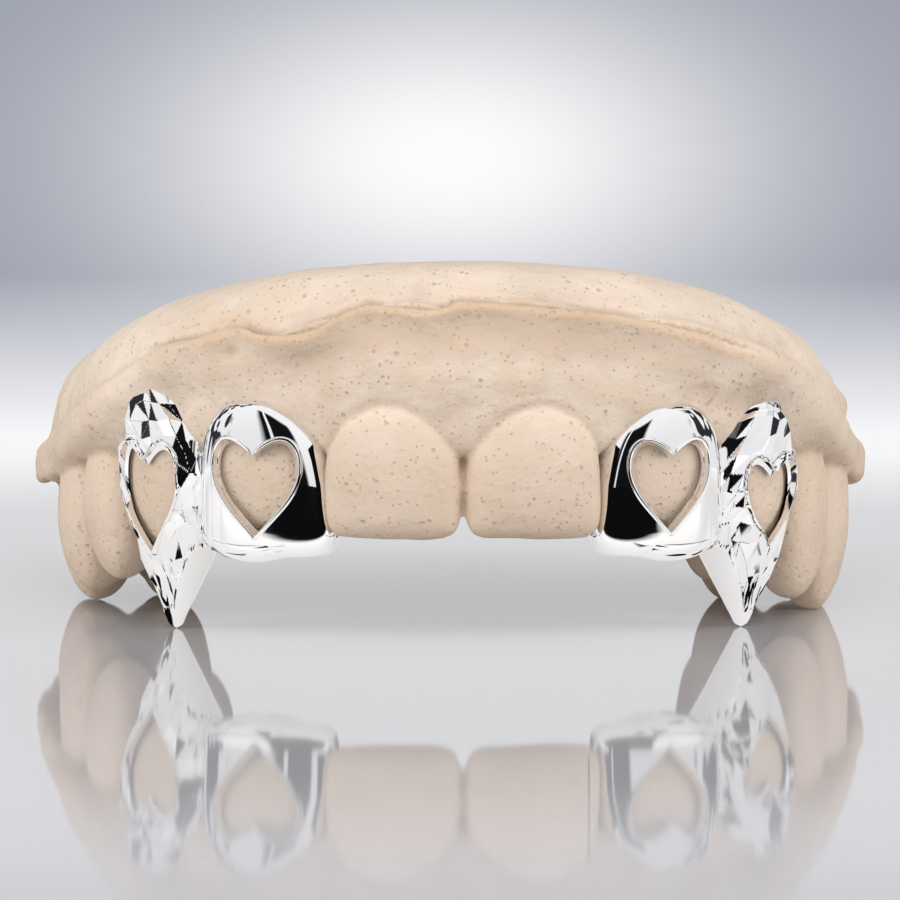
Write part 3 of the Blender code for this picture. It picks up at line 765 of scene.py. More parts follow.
# %% [markdown]
# ## Gum and base
#
# The gum, its rolls and the palate are one smooth skin. Its control net has a section every
# few millimetres along the arch, and each section is a loop of sixteen points from the
# palate's midline over the ridge to the top. A cubic B-spline in both directions turns the
# net into a surface: every point blends the four nearest control rows and columns.

# %% Gum
CAST_HEIGHT = 24.2
GUM_THICKNESS = 3.6
RIDGE_WIDTH = 5.6
GROOVE_WIDTH = 1.3
PALATE_MARGIN = 1.7
MARGIN_ROUND = 0.4
TOP_FALL = 3.8
SPINE_FRONT = 0.42
FLAT_TOP = 0.62
GUM_STATIONS = 28

GUM = dict(
    place=(0.00, 0.12, 0.23, 0.36, 0.48, 0.62, 0.80, 1.00),
    collar=(1.00, 1.00, 0.99, 0.97, 0.90, 0.76, 0.63, 0.60),
    ridge=(1.00, 1.00, 1.00, 1.05, 1.35, 1.45, 1.55, 1.50),
    neck=(0.42, 0.42, 0.44, 0.52, 0.44, 0.42, 0.44, 0.36),
    roll=(0.80, 0.78, 0.84, 1.02, 0.82, 0.72, 0.72, 0.45),
    roll_z=(0.775, 0.765, 0.715, 0.645, 0.500, 0.355, 0.305, 0.305),
    crest=(0.55, 0.60, 0.74, 0.98, 0.84, 0.70, 0.64, 0.40),
    crest_z=(0.885, 0.868, 0.822, 0.730, 0.600, 0.475, 0.410, 0.405),
    groove_z=(0.862, 0.845, 0.800, 0.712, 0.595, 0.490, 0.435, 0.430),
    land=(-0.40, -0.35, -0.20, 0.10, 0.30, 0.35, 0.30, 0.15),
    land_z=(0.965, 0.955, 0.925, 0.840, 0.740, 0.630, 0.570, 0.550),
    vault=(0.70, 0.70, 0.70, 0.69, 0.68, 0.66, 0.64, 0.62))
CREST_WAVE = dict(
    place=(-0.50, -0.34, -0.25, -0.20, -0.165, -0.135, -0.11, -0.065, -0.03, 0.0, 0.02, 0.085,
           0.155, 0.25, 0.34, 0.47, 0.60),
    rise=(0.0, 0.0, -0.3, -0.6, -0.9, -0.5, 0.3, 0.5, -0.1, 0.0, 0.6, 0.4,
          0.1, 0.3, 0.2, 0.5, 0.0))
ROOTS = dict(
    place=(0.0745, 0.2240, 0.3560, 0.4790, 0.5690, 0.700, 0.865),
    bulge=(0.30, 0.35, 0.45, 0.35, 0.35, 0.25, 0.25))
ROOT_WIDTH = 0.038
VALLEY = 0.55
PALATE_RUN = (1.00, 0.60, 0.22, 0.00)
PALATE_FALL = (0.00, 0.08, 0.45, 1.00)


def gum_net():
    """Control net of the gum: sections by stations from the left end to the right, in 3-D."""
    signed = np.linspace(-1.0, 1.0, 2 * GUM_STATIONS + 1)
    place, side = np.abs(signed), np.where(signed < 0, -1.0, 1.0)
    value = {name: np.interp(place, GUM["place"], column) for name, column in GUM.items()}
    x, y, _ = on_arch(place)
    spine = ARCH_LENGTH * (SPINE_FRONT + (1.0 - SPINE_FRONT) * place)
    radius = np.hypot(x, spine - y)
    collar, ridge = GUM_EDGE * value["collar"], RIDGE_WIDTH * value["ridge"]
    margin, vault = collar + PALATE_MARGIN, CAST_HEIGHT * value["vault"]
    neck, roll, crest, land = (GUM_THICKNESS * value[name]
                               for name in ("neck", "roll", "crest", "land"))
    roll_z, crest_z, groove_z, land_z = (CAST_HEIGHT * value[name]
                                         for name in ("roll_z", "crest_z", "groove_z", "land_z"))

    wave = np.interp(signed, CREST_WAVE["place"], CREST_WAVE["rise"])
    crest_z, groove_z = crest_z + wave, groove_z + wave
    roots = sum(bulge * np.exp(-((place - root) / ROOT_WIDTH) ** 2)
                for root, bulge in zip(*ROOTS.values()))
    roll, neck = roll + roots - 0.15, neck + 0.3 * roots - 0.15
    valley = VALLEY * np.clip(1.0 - place / 0.40, 0.0, 1.0)

    def top(out):
        back = spine + (y - spine) * (1.0 + out / radius)
        return CAST_HEIGHT - TOP_FALL * back.clip(0.0) / ARCH_LENGTH

    shoulder = land - GUM_THICKNESS
    loop = [(-ridge - (radius - ridge) * run, vault - (vault - margin) * fall)
            for run, fall in zip(PALATE_RUN, PALATE_FALL)]
    loop += [(-0.65 * ridge, collar), (-0.12 * ridge, collar),
             (neck - MARGIN_ROUND, collar + MARGIN_ROUND), (neck, collar + 0.4 * (roll_z - collar)),
             (roll, roll_z), ((roll + crest) / 2 - valley, (roll_z + crest_z) / 2),
             (crest, crest_z),
             (crest - GROOVE_WIDTH, groove_z), (land, land_z),
             (shoulder, (land_z + top(shoulder)) / 2),
             (-FLAT_TOP * radius, top(-FLAT_TOP * radius)), (-radius, top(-radius))]
    out = np.array([point[0] for point in loop])
    height = np.array([point[1] for point in loop])
    reach = 1.0 + out / radius
    return np.stack([side * x * reach, spine + (y - spine) * reach, height], axis=-1)


def spline_weights(count, controls):
    """Rows of cubic B-spline weights for evenly spaced points over a row of controls."""
    at = np.linspace(0.0, controls - 1.0, count)
    base = np.minimum(at.astype(int), controls - 2)
    s = at - base
    blend = np.stack([(1 - s) ** 3, 3 * s ** 3 - 6 * s ** 2 + 4,
                      -3 * s ** 3 + 3 * s ** 2 + 3 * s + 1, s ** 3], axis=1) / 6
    weights = np.zeros((count, controls + 2))
    np.put_along_axis(weights, base[:, None] + np.arange(4), blend, axis=1)
    return weights


def gum_surface(rows=260, columns=521):
    """B-spline surface of the net, mirrored over the palate's midline and plain at the back."""
    net = gum_net()
    net = np.concatenate([net[1:2] * (-1, 1, 1), net, net[-2:-1] * (-1, 1, 1)])
    before, after = 2 * net[:, :1] - net[:, 1:2], 2 * net[:, -1:] - net[:, -2:-1]
    net = np.concatenate([before, net, after], axis=1)
    down = spline_weights(rows, net.shape[0] - 2)
    along = spline_weights(columns, net.shape[1] - 2)
    points = np.einsum("ak,kjc,bj->abc", down, net, along)
    points[:, [0, -1], 1] = ARCH_LENGTH
    return points


def gum_mesh():
    """Closed gum: the grid, and one flat face over each half of the back."""
    points = gum_surface()
    rows, columns = points.shape[:2]
    number = np.arange(rows * columns).reshape(rows, columns)
    faces = grid_faces(rows, columns).tolist() + [number[:, 0].tolist(), number[:, -1].tolist()]
    return points.reshape(-1, 3), faces


print("control net of the gum:", gum_net().shape)


# %% [markdown]
# ## Crowns of stone
#
# Each stone tooth is one closed grid of rings, and its first and last rings shrink to a point.
# It reaches up into the gum, as a real root does, so the fusing below has stone to work with.

# %% Stone crowns
CROWN_RINGS = 90
CROWN_SIDES = 96


def crown_mesh(tooth, side):
    """Grid of a whole crown, closed at both ends by rings that shrink to a point."""
    level = np.linspace(0.0, 1.0, CROWN_RINGS)[:, None]
    angle = np.linspace(0.0, 2 * math.pi, CROWN_SIDES, endpoint=False)[None, :]
    points = mirrored(crown_point(tooth, angle, level * np.ones_like(angle)), side)
    return points.reshape(-1, 3), grid_faces(CROWN_RINGS, CROWN_SIDES, True).tolist()


# %% [markdown]
# ## One poured cast
#
# Gum and teeth are poured in one, so their meshes are fused. A Boolean would leave knife
# edges where a tooth leaves the gum. A voxel remesh melts them into one skin with the small
# fillets that plaster has, a few rounds of smoothing take out its steps, and a decimation
# spends the triangles where the surface bends.

# %% Cast
VOXEL = 0.24
CAST_TRIANGLES = 190000


def join_bodies(bodies):
    """Points and faces of several bodies as one list of each."""
    points, faces, offset = [], [], 0
    for body_points, body_faces in bodies:
        points.append(body_points)
        faces += [[corner + offset for corner in face] for face in body_faces]
        offset += len(body_points)
    return np.concatenate(points), faces


def poured_cast():
    """Gum and all crowns fused, smoothed and thinned."""
    bodies = [gum_mesh()]
    for side in (1, -1):
        for tooth in [CENTRAL, LATERAL, EYE_TOOTH] + back_teeth(side):
            bodies.append(crown_mesh(tooth, side))
    item = make_piece("cast", make_mesh("cast", *join_bodies(bodies)), STONE)
    melt = item.modifiers.new("melt", "REMESH")
    melt.mode = "VOXEL"
    melt.voxel_size = VOXEL * MM
    ease = item.modifiers.new("ease", "SMOOTH")
    ease.factor = 0.5
    ease.iterations = 4
    settle(item)
    triangles = 2 * len(item.data.polygons)
    if triangles > CAST_TRIANGLES:
        thin = item.modifiers.new("thin", "DECIMATE")
        thin.ratio = CAST_TRIANGLES / triangles
        settle(item)
    print("cast:", triangles, "triangles, thinned to", len(item.data.polygons))
    return item


cast = poured_cast()

# %% [markdown]
# ## Relief of the gum
#
# The impression tray left a ledge along the gum of the photographed cast, with a groove above
# it, a softer valley below and a pocket over each fang cap. Each is a line in the front view
# with a bell curve across it, which moves the skin in or out. Building them into the control
# net would need many more stations, and a wavering edge would come out too smooth.

# %% Relief
LEDGE = dict(
    x=(-20.9, -18.9, -16.3, -13.8, -12.4, -10.7, -9.4, -8.2, -7.0, -5.7, -3.9, -2.7, -1.5, -0.2,
       1.6, 3.4, 5.3, 7.2, 9.7, 12.2, 14.8, 17.4, 19.1, 20.8),
    z=(17.46, 18.29, 18.95, 19.59, 19.34, 19.28, 19.49, 20.13, 20.75, 21.19, 21.02, 20.78, 20.96,
       21.39, 21.37, 21.18, 20.99, 20.87, 20.50, 19.85, 19.17, 18.26, 17.76, 16.92))
VALLEY_LINE = dict(x=(-16.3, -12.5, -10.0, -7.6, -5.1, 0.0, 5.9, 9.7, 12.2, 16.2),
                   z=(15.4, 16.5, 17.0, 17.8, 18.3, 18.3, 18.0, 17.3, 16.5, 15.4))
LEDGE_BELLS = dict(middle=(0.0, -0.60, -1.8), width=(0.22, 0.42, 0.8), gain=(-0.55, 0.30, -0.25))
VALLEY_BELLS = dict(middle=(0.0, -2.1), width=(1.3, 1.1), gain=(-0.20, 0.12))
POCKETS = ((19.6, 14.2), (-19.6, 15.2))
POCKET_DEPTH = 0.60
POCKET_WIDTH = 2.9
POCKET_HEIGHT = 1.7
# Painted shade under the ledge, partly a tan residue: its distance below the ledge line, its height
# and its strongest share.
SHADE_AND_RESIDUE_BELOW = 1.9
SHADE_AND_RESIDUE_HEIGHT = 1.25
SHADE_AND_RESIDUE_MOST = 0.85
RELIEF_SIDE = 20.0
RELIEF_BACK = 14.0


def relief(points):
    """How far the skin moves out: sum of gain * exp(-((distance - middle) / width) ^ 2)."""
    x, y, z = points[:, 0], points[:, 1] - ARCH_FRONT, points[:, 2]
    out = np.zeros(len(points))
    for line, bells in ((LEDGE, LEDGE_BELLS), (VALLEY_LINE, VALLEY_BELLS)):
        distance = z - through(*line.values(), x)
        for middle, width, gain in zip(*bells.values()):
            out += gain * np.exp(-((distance - middle) / width) ** 2)
    out *= falling(np.abs(x), RELIEF_SIDE, 5) * falling(y, RELIEF_BACK, 4)
    for across, up in POCKETS:
        bell = np.exp(-((x - across) / POCKET_WIDTH) ** 2 - ((z - up) / POCKET_HEIGHT) ** 2)
        out -= POCKET_DEPTH * falling(y, 12.5, 2) * bell
    return out


def shade_and_residue(points):
    """Share of painted shade under the ledge, partly a tan residue: a bell curve below its line."""
    x, y, z = points[:, 0], points[:, 1] - ARCH_FRONT, points[:, 2]
    front = falling(np.abs(x), RELIEF_SIDE, 10) * falling(y, RELIEF_BACK, 4)
    distance = z - through(*LEDGE.values(), x) + SHADE_AND_RESIDUE_BELOW
    return SHADE_AND_RESIDUE_MOST * front * np.exp(-(distance / SHADE_AND_RESIDUE_HEIGHT) ** 2)


# %% [markdown]
# ## Lumps, worn rims and hollows
#
# The skin is moved along its normals by three sizes of noise, strong on the base, where the
# plaster was only trimmed, and faint on the teeth, which copy a mouth. The flat top and back
# stay calmer. Then each vertex is compared with the mean of its neighbours: where they stand
# higher the surface is hollow, where they stand lower it is a rim. Both go into attributes
# for the material, which paints shade into the hollows and tan wear onto the rims.

# %% Sculpt the cast
LUMPS = dict(grain=(6.0, 2.6, 1.2), base=(0.42, 0.22, 0.10), tooth=(0.05, 0.06, 0.04))
BACK_LUMPS = dict(grain=1.9, depth=0.45, seed=8)
PLASTER_FROM = 13.5
BACK_FROM = 18.0
CALM = 0.75
SPREAD = 6
HOLLOW_FULL = 0.10
WEAR_FULL = 0.16


def read_array(collection, name, width):
    """One property of a whole collection as an array with a row for each item."""
    values = np.empty(len(collection) * width)
    collection.foreach_get(name, values)
    return values.reshape(-1, width)


def neighbour_mean(values, edges, count):
    """Mean over the vertices that share an edge with each vertex."""
    ends = np.concatenate([edges, edges[:, ::-1]])
    degree = np.bincount(ends[:, 0], minlength=count)
    sums = [np.bincount(ends[:, 0], weights=column[ends[:, 1]], minlength=count)
            for column in np.atleast_2d(values.T)]
    return np.stack(sums, axis=-1) / np.maximum(degree, 1)[:, None]


def lumpy(points, normals):
    """Points moved along their normals by the back's lumps, the relief and the three noises."""
    back = rising(points[:, 1] - ARCH_FRONT, BACK_FROM, 8.0) * rising(points[:, 2], 6.0, 4.0)
    plaster = np.maximum(rising(points[:, 2], PLASTER_FROM, 4.5), back)
    calm = 1.0 - CALM * np.clip(np.maximum(normals[:, 2], normals[:, 1]), 0.0, 1.0)
    lumps = soft_noise(points, BACK_LUMPS["grain"], BACK_LUMPS["seed"])
    points = points + normals * (BACK_LUMPS["depth"] * back * calm ** 2 * lumps)[:, None]
    points = points + normals * relief(points)[:, None]
    for number, (grain, base, tooth) in enumerate(zip(*LUMPS.values())):
        amount = tooth + (base * calm - tooth) * plaster
        points = points + normals * (soft_noise(points, grain, number + 3) * amount)[:, None]
    return points


def sculpt(item):
    """Give the mesh its lumps, and store how hollow or how worn each vertex is."""
    mesh = item.data
    points = read_array(mesh.vertices, "co", 3) / MM
    points = lumpy(points, read_array(mesh.vertex_normals, "vector", 3))
    mesh.vertices.foreach_set("co", (points * MM).ravel())
    mesh.update()
    normals = read_array(mesh.vertex_normals, "vector", 3)
    edges = read_array(mesh.edges, "vertices", 2).astype(int)
    around = points.copy()
    for _ in range(SPREAD):
        around = neighbour_mean(around, edges, len(points))
    bend = np.einsum("ij,ij->i", around - points, normals)
    # hollow is the share of painted shade: in concave places, and under the ledge, where it is partly
    # a tan residue.
    hollow = np.maximum(bend / HOLLOW_FULL, shade_and_residue(points))
    for name, share in (("hollow", hollow), ("wear", -bend / WEAR_FULL)):
        layer = mesh.attributes.new(name, "FLOAT", "POINT")
        layer.data.foreach_set("value", np.clip(share, 0.0, 1.0).astype(np.float32))
    print("hollow vertices:", int((bend > 0.05).sum()), "rim vertices:", int((bend < -0.08).sum()))


sculpt(cast)

# %% [markdown]
# ## Heart windows
#
# Each cap has a heart sawn through its face, with a thin rolled rim. A Boolean would cut it,
# but its ragged triangles show at once in a mirror polish. Here the grid itself runs round
# the heart: every spoke starts on the heart's outline and ends on the far border of the cap,
# so the rim is as smooth as the outline, and the cap needs no cut at all. A cap is half a
# millimetre of metal, with a thin gap to the stone.

# %% Heart outline on a crown
HEARTS = {
    ("lateral", 1): dict(width=5.4, foot=6.7, top=12.4, shift=-0.60),
    ("lateral", -1): dict(width=5.8, foot=6.5, top=12.5, shift=-0.66),
    ("canine", 1): dict(width=4.9, foot=5.4, top=10.9, shift=-0.28),
    ("canine", -1): dict(width=5.2, foot=5.0, top=11.9, shift=-0.28)}
RIM_WIDTH = 0.24
RIM_HEIGHT = 0.60
CAP_WALL = 0.50
CAP_GAP = 0.20
CAP_GROW = CAP_WALL + CAP_GAP


def heart_outline(heart, margin, count=3000):
    """Heart x = |sin t| ^ 1.9, y = 13 cos t - 5 cos 2t - 2 cos 3t - cos 4t + 2.6 exp(-(2t)^2).

    It is scaled to its box. A margin moves the points along the outline's normals, and fades
    towards the notch, where the two sides would cross.
    """
    t = np.linspace(-math.pi, math.pi, count, endpoint=False)
    x = np.sign(np.sin(t)) * np.abs(np.sin(t)) ** 1.9 / 2
    y = (13 * np.cos(t) - 5 * np.cos(2 * t) - 2 * np.cos(3 * t) - np.cos(4 * t)
         + 2.6 * np.exp(-(2 * t) ** 2))
    y = (y - y.min()) / (y.max() - y.min()) - 0.5
    x, y = x * heart["width"], y * (heart["top"] - heart["foot"])
    dx, dy = np.roll(x, -1) - np.roll(x, 1), np.roll(y, -1) - np.roll(y, 1)
    size = np.maximum(np.hypot(dx, dy), 1e-9)
    fade = np.where(np.abs(t) < 1.0, 1 - np.exp(-(x / 0.22) ** 2), 1.0)
    x, y = x - dy / size * margin * fade, y + dx / size * margin * fade
    return heart["shift"] + x, (heart["foot"] + heart["top"]) / 2 + y


def on_crown(tooth, across, height):
    """Angle and level of the grown crown's face at a distance across and a height."""
    level = np.linspace(0.0, 1.0, 3000)
    heights = crown_point(tooth, np.zeros_like(level), level, CAP_GROW)[:, 2]
    at = np.interp(height, heights, level)
    half = (tooth["width"] / 2 + CAP_GROW) * row_value(tooth, "width", at)
    half = half * stretch(tooth, across, at)
    x = np.clip(across / half, -0.985, 0.985)
    y = (1 - np.abs(x) ** SQUARENESS) ** (1 / SQUARENESS)
    return np.stack([np.arctan2(y, x), at])


print("hearts in mm:", {key: heart["width"] for key, heart in HEARTS.items()})


# %% [markdown]
# ## A grid that grows out of the heart
#
# Unrolled, a cap is a rectangle of angle by level. Spokes run from the heart to the
# rectangle's border, and rows run round the heart. The same spokes carry the inner skin, the
# wall of the window and the rolled rim, so all four join without a gap. A Solidify modifier
# would be shorter, but it folds over itself in the heart's notch.

# %% Grid round a heart
ANGLE_SCALE = 4.0
LEVEL_SCALE = 11.0
SPOKES = 400
FACE_EASE = 1.15
RIM_ROWS = 8
INNER_ROWS = 24
WALL_SHARES = (0.75, 0.5, 0.25)


def border():
    """Closed border of the unrolled cap: level 0, its right edge, level 1 and its left edge."""
    wide, side = 3 * SPOKES // 8, SPOKES // 8
    right, left = 1.5 * math.pi, -0.5 * math.pi
    angle = np.concatenate([np.linspace(left, right, wide, endpoint=False), np.full(side, right),
                            np.linspace(right, left, wide, endpoint=False), np.full(side, left)])
    level = np.concatenate([np.zeros(wide), np.linspace(0, 1, side, endpoint=False),
                            np.ones(wide), np.linspace(1, 0, side, endpoint=False)])
    return np.stack([angle, level])


def normals_of(tooth, angle, level):
    """Outward unit normals of the grown crown from small steps in angle and level."""
    step = 1e-3
    across = (crown_point(tooth, angle + step, level, CAP_GROW)
              - crown_point(tooth, angle - step, level, CAP_GROW))
    up = (crown_point(tooth, angle, np.minimum(level + step, 1), CAP_GROW)
          - crown_point(tooth, angle, np.maximum(level - step, 0), CAP_GROW))
    normal = np.cross(up, across)
    return normal / np.maximum(np.linalg.norm(normal, axis=-1, keepdims=True), 1e-12)


def hearts_on_spokes(tooth, heart, edge):
    """Angle and level where each spoke crosses the heart and the widened heart."""
    scale = np.array([[ANGLE_SCALE], [LEVEL_SCALE]])
    inner, outer = (on_crown(tooth, *heart_outline(heart, margin)) for margin in (0.0, RIM_WIDTH))
    centre = outer.mean(axis=1, keepdims=True)
    heading = np.arctan2(*((edge - centre) * scale)[::-1])
    turn = np.arctan2(*((outer - centre) * scale)[::-1])
    order = np.argsort(turn)
    return [np.stack([np.interp(heading, turn[order], row[order], period=2 * math.pi)
                      for row in outline]) for outline in (inner, outer)]


def heart_grid(tooth, heart, rows, cut=None):
    """Skins of a cap as rows of spokes: inner skin, wall of the window, rolled rim, face.

    On each spoke the face runs straight, in angle and level, from the widened heart to the
    border. The rim is half an ellipse over the gap between the heart and the widened heart, and
    RIM_HEIGHT is its height as a share of half its width. The inner skin is the same crown,
    grown by the gap alone.
    """
    edge = border()
    inner, outer = hearts_on_spokes(tooth, heart, edge)
    share = np.linspace(0.0, 1.0, rows)[:, None, None] ** FACE_EASE
    angle, level = np.moveaxis(outer * (1 - share) + edge * share, 1, 0)
    face = crown_point(tooth, angle, level, CAP_GROW)
    if cut is not None:
        face = cut(face, angle, level)
    hole = crown_point(tooth, *inner, CAP_GROW)
    normal = normals_of(tooth, *inner)
    swing = np.linspace(0.0, math.pi, RIM_ROWS + 1)[:-1, None, None]
    middle, half = (hole + face[0]) / 2, (face[0] - hole) / 2
    height = RIM_HEIGHT * np.linalg.norm(half, axis=-1, keepdims=True)
    rim = middle - np.cos(swing) * half + np.sin(swing) * height * normal
    wall = hole - np.array(WALL_SHARES)[:, None, None] * CAP_WALL * normal
    share = np.linspace(1.0, 0.0, INNER_ROWS)[:, None, None]
    angle, level = np.moveaxis(inner * (1 - share) + edge * share, 1, 0)
    return np.concatenate([crown_point(tooth, angle, level, CAP_GAP), wall, rim, face])


def cap_faces(rows):
    """Quads of both skins, and those that close the neck between them."""
    number = np.arange(rows * SPOKES).reshape(rows, SPOKES)
    neck = np.arange(SPOKES // 2, SPOKES // 2 + 3 * SPOKES // 8)
    ring = np.stack([number[0, neck], number[0, neck + 1], number[-1, neck + 1], number[-1, neck]],
                    axis=-1)
    return np.concatenate([grid_faces(rows, SPOKES, True), ring])


# %% [markdown]
# ## Diamond-cut facets
#
# The fang cap is cut with a flat diamond tool that takes a small flat off the round surface,
# again and again. Here the face is laid out in slanted cells, each cell is split along one of
# its diagonals, and the corners are pushed in by random amounts. A point inside a triangle is
# the weighted mean of its corners, so every facet is truly flat and the ridges are straight.
# The tool leaves the mesial side of the fang, below the seam, and the cap's upper rim round.

# %% Facets
FACET_TURN = 0.23
FACET_RISE = 1.12
FACET_SLANT = 0.45
FACET_DEPTH = (0.02, 0.32)
FACET_SHIFT = 0.22
LATTICE = 64
FACETS_FROM = -0.6
FACETS_TO = dict(angle=2.15, slope=0.13, wider=1.2, wider_from=5.2)
FACETS_FOOT = 1.0
FACETS_TOP = 0.3


def facet_cut(tooth, seed):
    """Function that moves a cap's face onto a slanted lattice of flat triangles."""
    dice = np.random.default_rng(seed)
    depth = dice.uniform(*FACET_DEPTH, (LATTICE, LATTICE))
    turn, rise = dice.uniform(-FACET_SHIFT, FACET_SHIFT, (2, LATTICE, LATTICE))
    split = dice.uniform(0, 1, (LATTICE, LATTICE)) < 0.5
    levels = np.linspace(0.0, 1.0, 2000)
    heights = crown_point(tooth, np.zeros_like(levels), levels, CAP_GROW)[:, 2]

    def corner(i, j):
        pick = (i % LATTICE, j % LATTICE)
        angle = FACET_TURN * (i + turn[pick] - FACET_SLANT * j)
        level = np.interp(FACET_RISE * (j + rise[pick]), heights, levels)
        point = crown_point(tooth, angle, level, CAP_GROW)
        return point - depth[pick][..., None] * normals_of(tooth, angle, level)

    def where_cut(angle, height):
        limit = (FACETS_TO["angle"] + FACETS_TO["slope"] * height
                 + FACETS_TO["wider"] * rising(height, FACETS_TO["wider_from"], 1.0))
        return (falling(angle, limit, 0.12) * rising(height, FACETS_FOOT, 0.5)
                * rising(angle, FACETS_FROM, 0.2) * falling(height, heights[-1] - FACETS_TOP, 0.8))

    def cut(face, angle, level):
        height = np.interp(level, levels, heights)
        b = height / FACET_RISE
        a = angle / FACET_TURN + FACET_SLANT * b
        i, j = np.floor(a).astype(int), np.floor(b).astype(int)
        u, v = a - i, b - j
        low = u + v < 1
        plain = [np.where(low, 1 - u - v, 0), np.where(low, u, 1 - v),
                 np.where(low, v, 1 - u), np.where(low, 0, u + v - 1)]
        crossed = [1 - np.maximum(u, v), np.maximum(u - v, 0), np.maximum(v - u, 0),
                   np.minimum(u, v)]
        way = split[i % LATTICE, j % LATTICE]
        steps = ((0, 0), (1, 0), (0, 1), (1, 1))
        flat = sum(np.where(way, first, second)[..., None] * corner(i + right, j + up)
                   for first, second, (right, up) in zip(crossed, plain, steps))
        return face + where_cut(angle, height)[..., None] * (flat - face)

    return cut


# %% [markdown]
# ## The two caps
#
# A real cap is cast in wax-thin silver over the tooth, so it is the tooth's own shape, grown:
# an outer and an inner skin, half a millimetre apart. Both caps come from the same crowns as
# the stone under them. The left and the right one differ a little in the photograph, in their
# necks and in how far they reach towards the front teeth.

# %% Caps
LATERAL_FIT = {1: dict(near=1.22, neck=14.1), -1: dict(near=1.30, neck=14.3)}
FANG_NECK = 14.3
LEFT_FANG_RISE = 1.5
LATERAL_ROWS = 120
FANG_ROWS = 160
SHARP = math.radians(2.5)


def lateral_cap(side):
    """Smooth cap over the side incisor."""
    tooth = crown(SMOOTH_CAP, tip=LATERAL_TIP, **LATERAL_FIT[side], **LATERAL_SEAT)
    points = mirrored(heart_grid(tooth, HEARTS["lateral", side], LATERAL_ROWS), side)
    return make_piece("smooth_cap", make_mesh("smooth_cap", points, cap_faces(len(points))), SILVER)


def fang_cap(side):
    """Faceted cap over the canine, drawn down to the table as a fang."""
    neck = FANG_NECK if side > 0 else FANG_NECK + LEFT_FANG_RISE
    tooth = crown(FANG, tip=0.0, neck=neck, **CANINE_SEAT)
    cut = facet_cut(tooth, 5 + side)
    points = mirrored(heart_grid(tooth, HEARTS["canine", side], FANG_ROWS, cut), side)
    item = make_piece("fang_cap", make_mesh("fang_cap", points, cap_faces(len(points))), SILVER)
    item.data.set_sharp_from_angle(angle=SHARP)
    return item


# %% [markdown]
# ## Biting lip
#
# A band of thicker metal runs round the biting edge of the smooth cap, where it wears. It is a
# stack of squared rings whose corners rise, rounded at both borders. A bevelled curve would be
# quicker, but it can't be wider at the front than at the back.

# %% Biting lip
LIP = dict(
    level=(0.0, 0.08, 0.20, 0.45, 0.80, 0.94, 1.0),
    width=(0.0, 0.74, 0.90, 1.00, 1.02, 1.00, 0.90),
    front=(0.0, 0.60, 0.86, 1.00, 1.04, 1.00, 0.86),
    back=(0.0, 0.45, 0.66, 0.80, 0.86, 0.84, 0.72),
    height=(0.0, 0.00, 0.10, 0.42, 0.84, 0.96, 1.0))
LIP_SQUARENESS = 2.2
LIP_SIDE = LATERAL["width"] / 2 + CAP_GROW + 0.15
LIP_FRONT = FRONT_BULGE * 0.72 + CAP_GROW + 0.3
LIP_BACK = FRONT_BULGE * 0.6 + CAP_GROW
LIP_FOOT = LATERAL["tip"] - CAP_GROW - 0.5
LIP_CORNER_RISE = 1.0
LIP_HEIGHT = 1.2


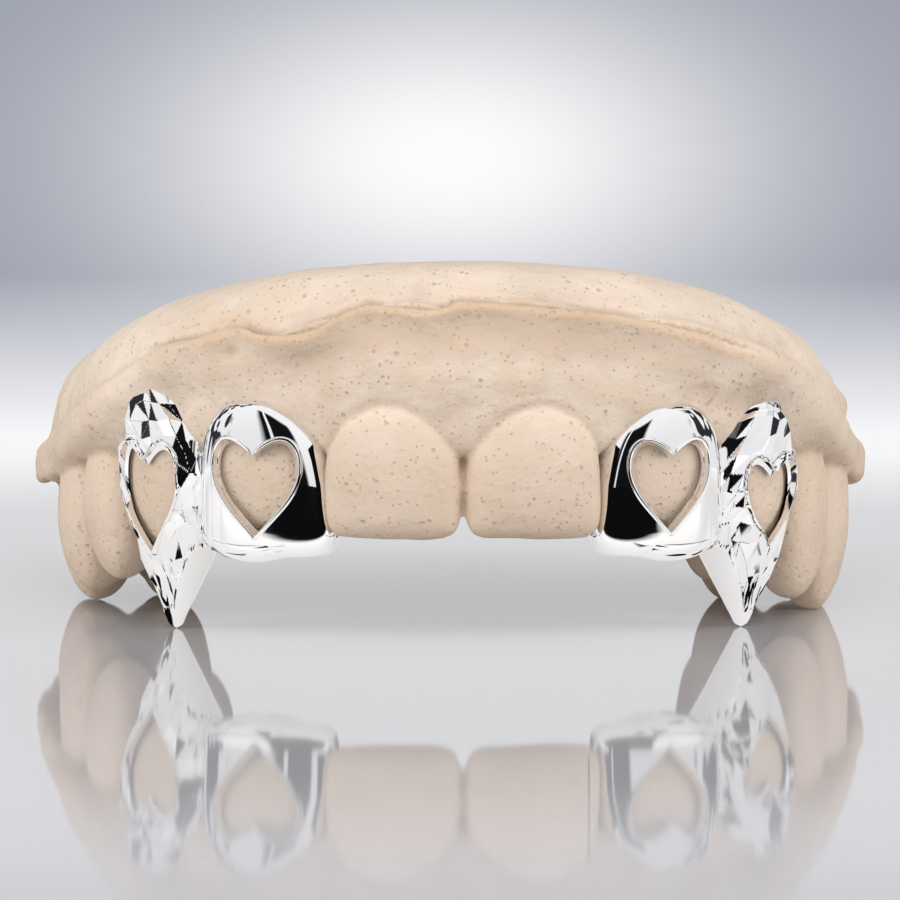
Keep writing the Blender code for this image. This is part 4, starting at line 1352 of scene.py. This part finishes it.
def biting_lip(side):
    """Rings |x| ^ p + |y| ^ p = 1 with the table's widths, reaches and heights."""
    level = np.linspace(0.0, 1.0, 40)[:, None]
    angle = np.linspace(0.0, 2 * math.pi, 160, endpoint=False)[None, :]
    width, front, back, height = (through(LIP["level"], LIP[name], level)
                                  for name in ("width", "front", "back", "height"))
    cosine, sine = np.cos(angle), np.sin(angle)
    size = (np.abs(cosine) ** LIP_SQUARENESS + np.abs(sine) ** LIP_SQUARENESS) ** (-1 / LIP_SQUARENESS)
    across = cosine * size * LIP_SIDE * width
    reach = np.where(sine > 0, LIP_FRONT * front, LIP_BACK * back) * sine * size
    rise = LIP_FOOT + LIP_CORNER_RISE * (cosine * size) ** 2 * width + LIP_HEIGHT * height
    points = (LATERAL["foot"] + across[..., None] * LATERAL["along"]
              + reach[..., None] * LATERAL["outward"] + rise[..., None] * np.array([0, 0, 1.0]))
    mesh = make_mesh("biting_lip", mirrored(points, side), grid_faces(40, 160, True))
    return make_piece("biting_lip", mesh, SILVER)


# %% [markdown]
# ## Solder seam
#
# The two caps are soldered side by side, and the burr that cleaned the joint left upright
# ribs. The seam is a bar of circles along a straight path. Its radius waves with the angle.

# %% Solder seam
SEAM_PLACE = 0.290
SEAM_RADIUS = 0.62
SEAM_FOOT = 5.9
SEAM_TOP = 11.6
SEAM_RIBS = 7
SEAM_RIB_DEPTH = 0.07


def solder_seam(side):
    """Radius = R (1 + depth cos(ribs angle)) (1 - |2 level - 1| ^ 8) ^ 0.5 round an upright axis."""
    x, y, turn = (float(value) for value in on_arch(SEAM_PLACE))
    level = np.linspace(0.0, 1.0, 60)[:, None]
    angle = np.linspace(0.0, 2 * math.pi, 96, endpoint=False)[None, :]
    ends = np.sqrt(np.clip(1 - (2 * level - 1) ** 8, 0, 1))
    radius = SEAM_RADIUS * ends * (1 + SEAM_RIB_DEPTH * np.cos(SEAM_RIBS * angle))
    centre = np.array([x, y, 0]) + np.array([math.sin(turn), -math.cos(turn), 0]) * SEAM_RADIUS
    points = np.stack([centre[0] + radius * np.cos(angle), centre[1] + radius * np.sin(angle),
                       SEAM_FOOT + (SEAM_TOP - SEAM_FOOT) * level + 0 * angle], axis=-1)
    mesh = make_mesh("solder_seam", mirrored(points, side), grid_faces(60, 96, True))
    return make_piece("solder_seam", mesh, SILVER)


# %% [markdown]
# ## Put it on the frame
#
# The real caps are held by fit alone, so every new piece rides on the one body of the model,
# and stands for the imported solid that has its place.

# %% Place and finish
for word, side in (("right", 1), ("left", -1)):
    for piece in (lateral_cap(side), fang_cap(side), biting_lip(side), solder_seam(side)):
        piece.name = piece.data.name = piece.name + "_" + word
        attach(piece, "root")
        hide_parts("grill_" + word)
        print(piece.name, len(piece.data.polygons), "faces")

cast.data.polygons.foreach_set("use_smooth", [True] * len(cast.data.polygons))
cast.name = cast.data.name = "stone_cast"
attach(cast, "root")
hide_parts("dental_cast")
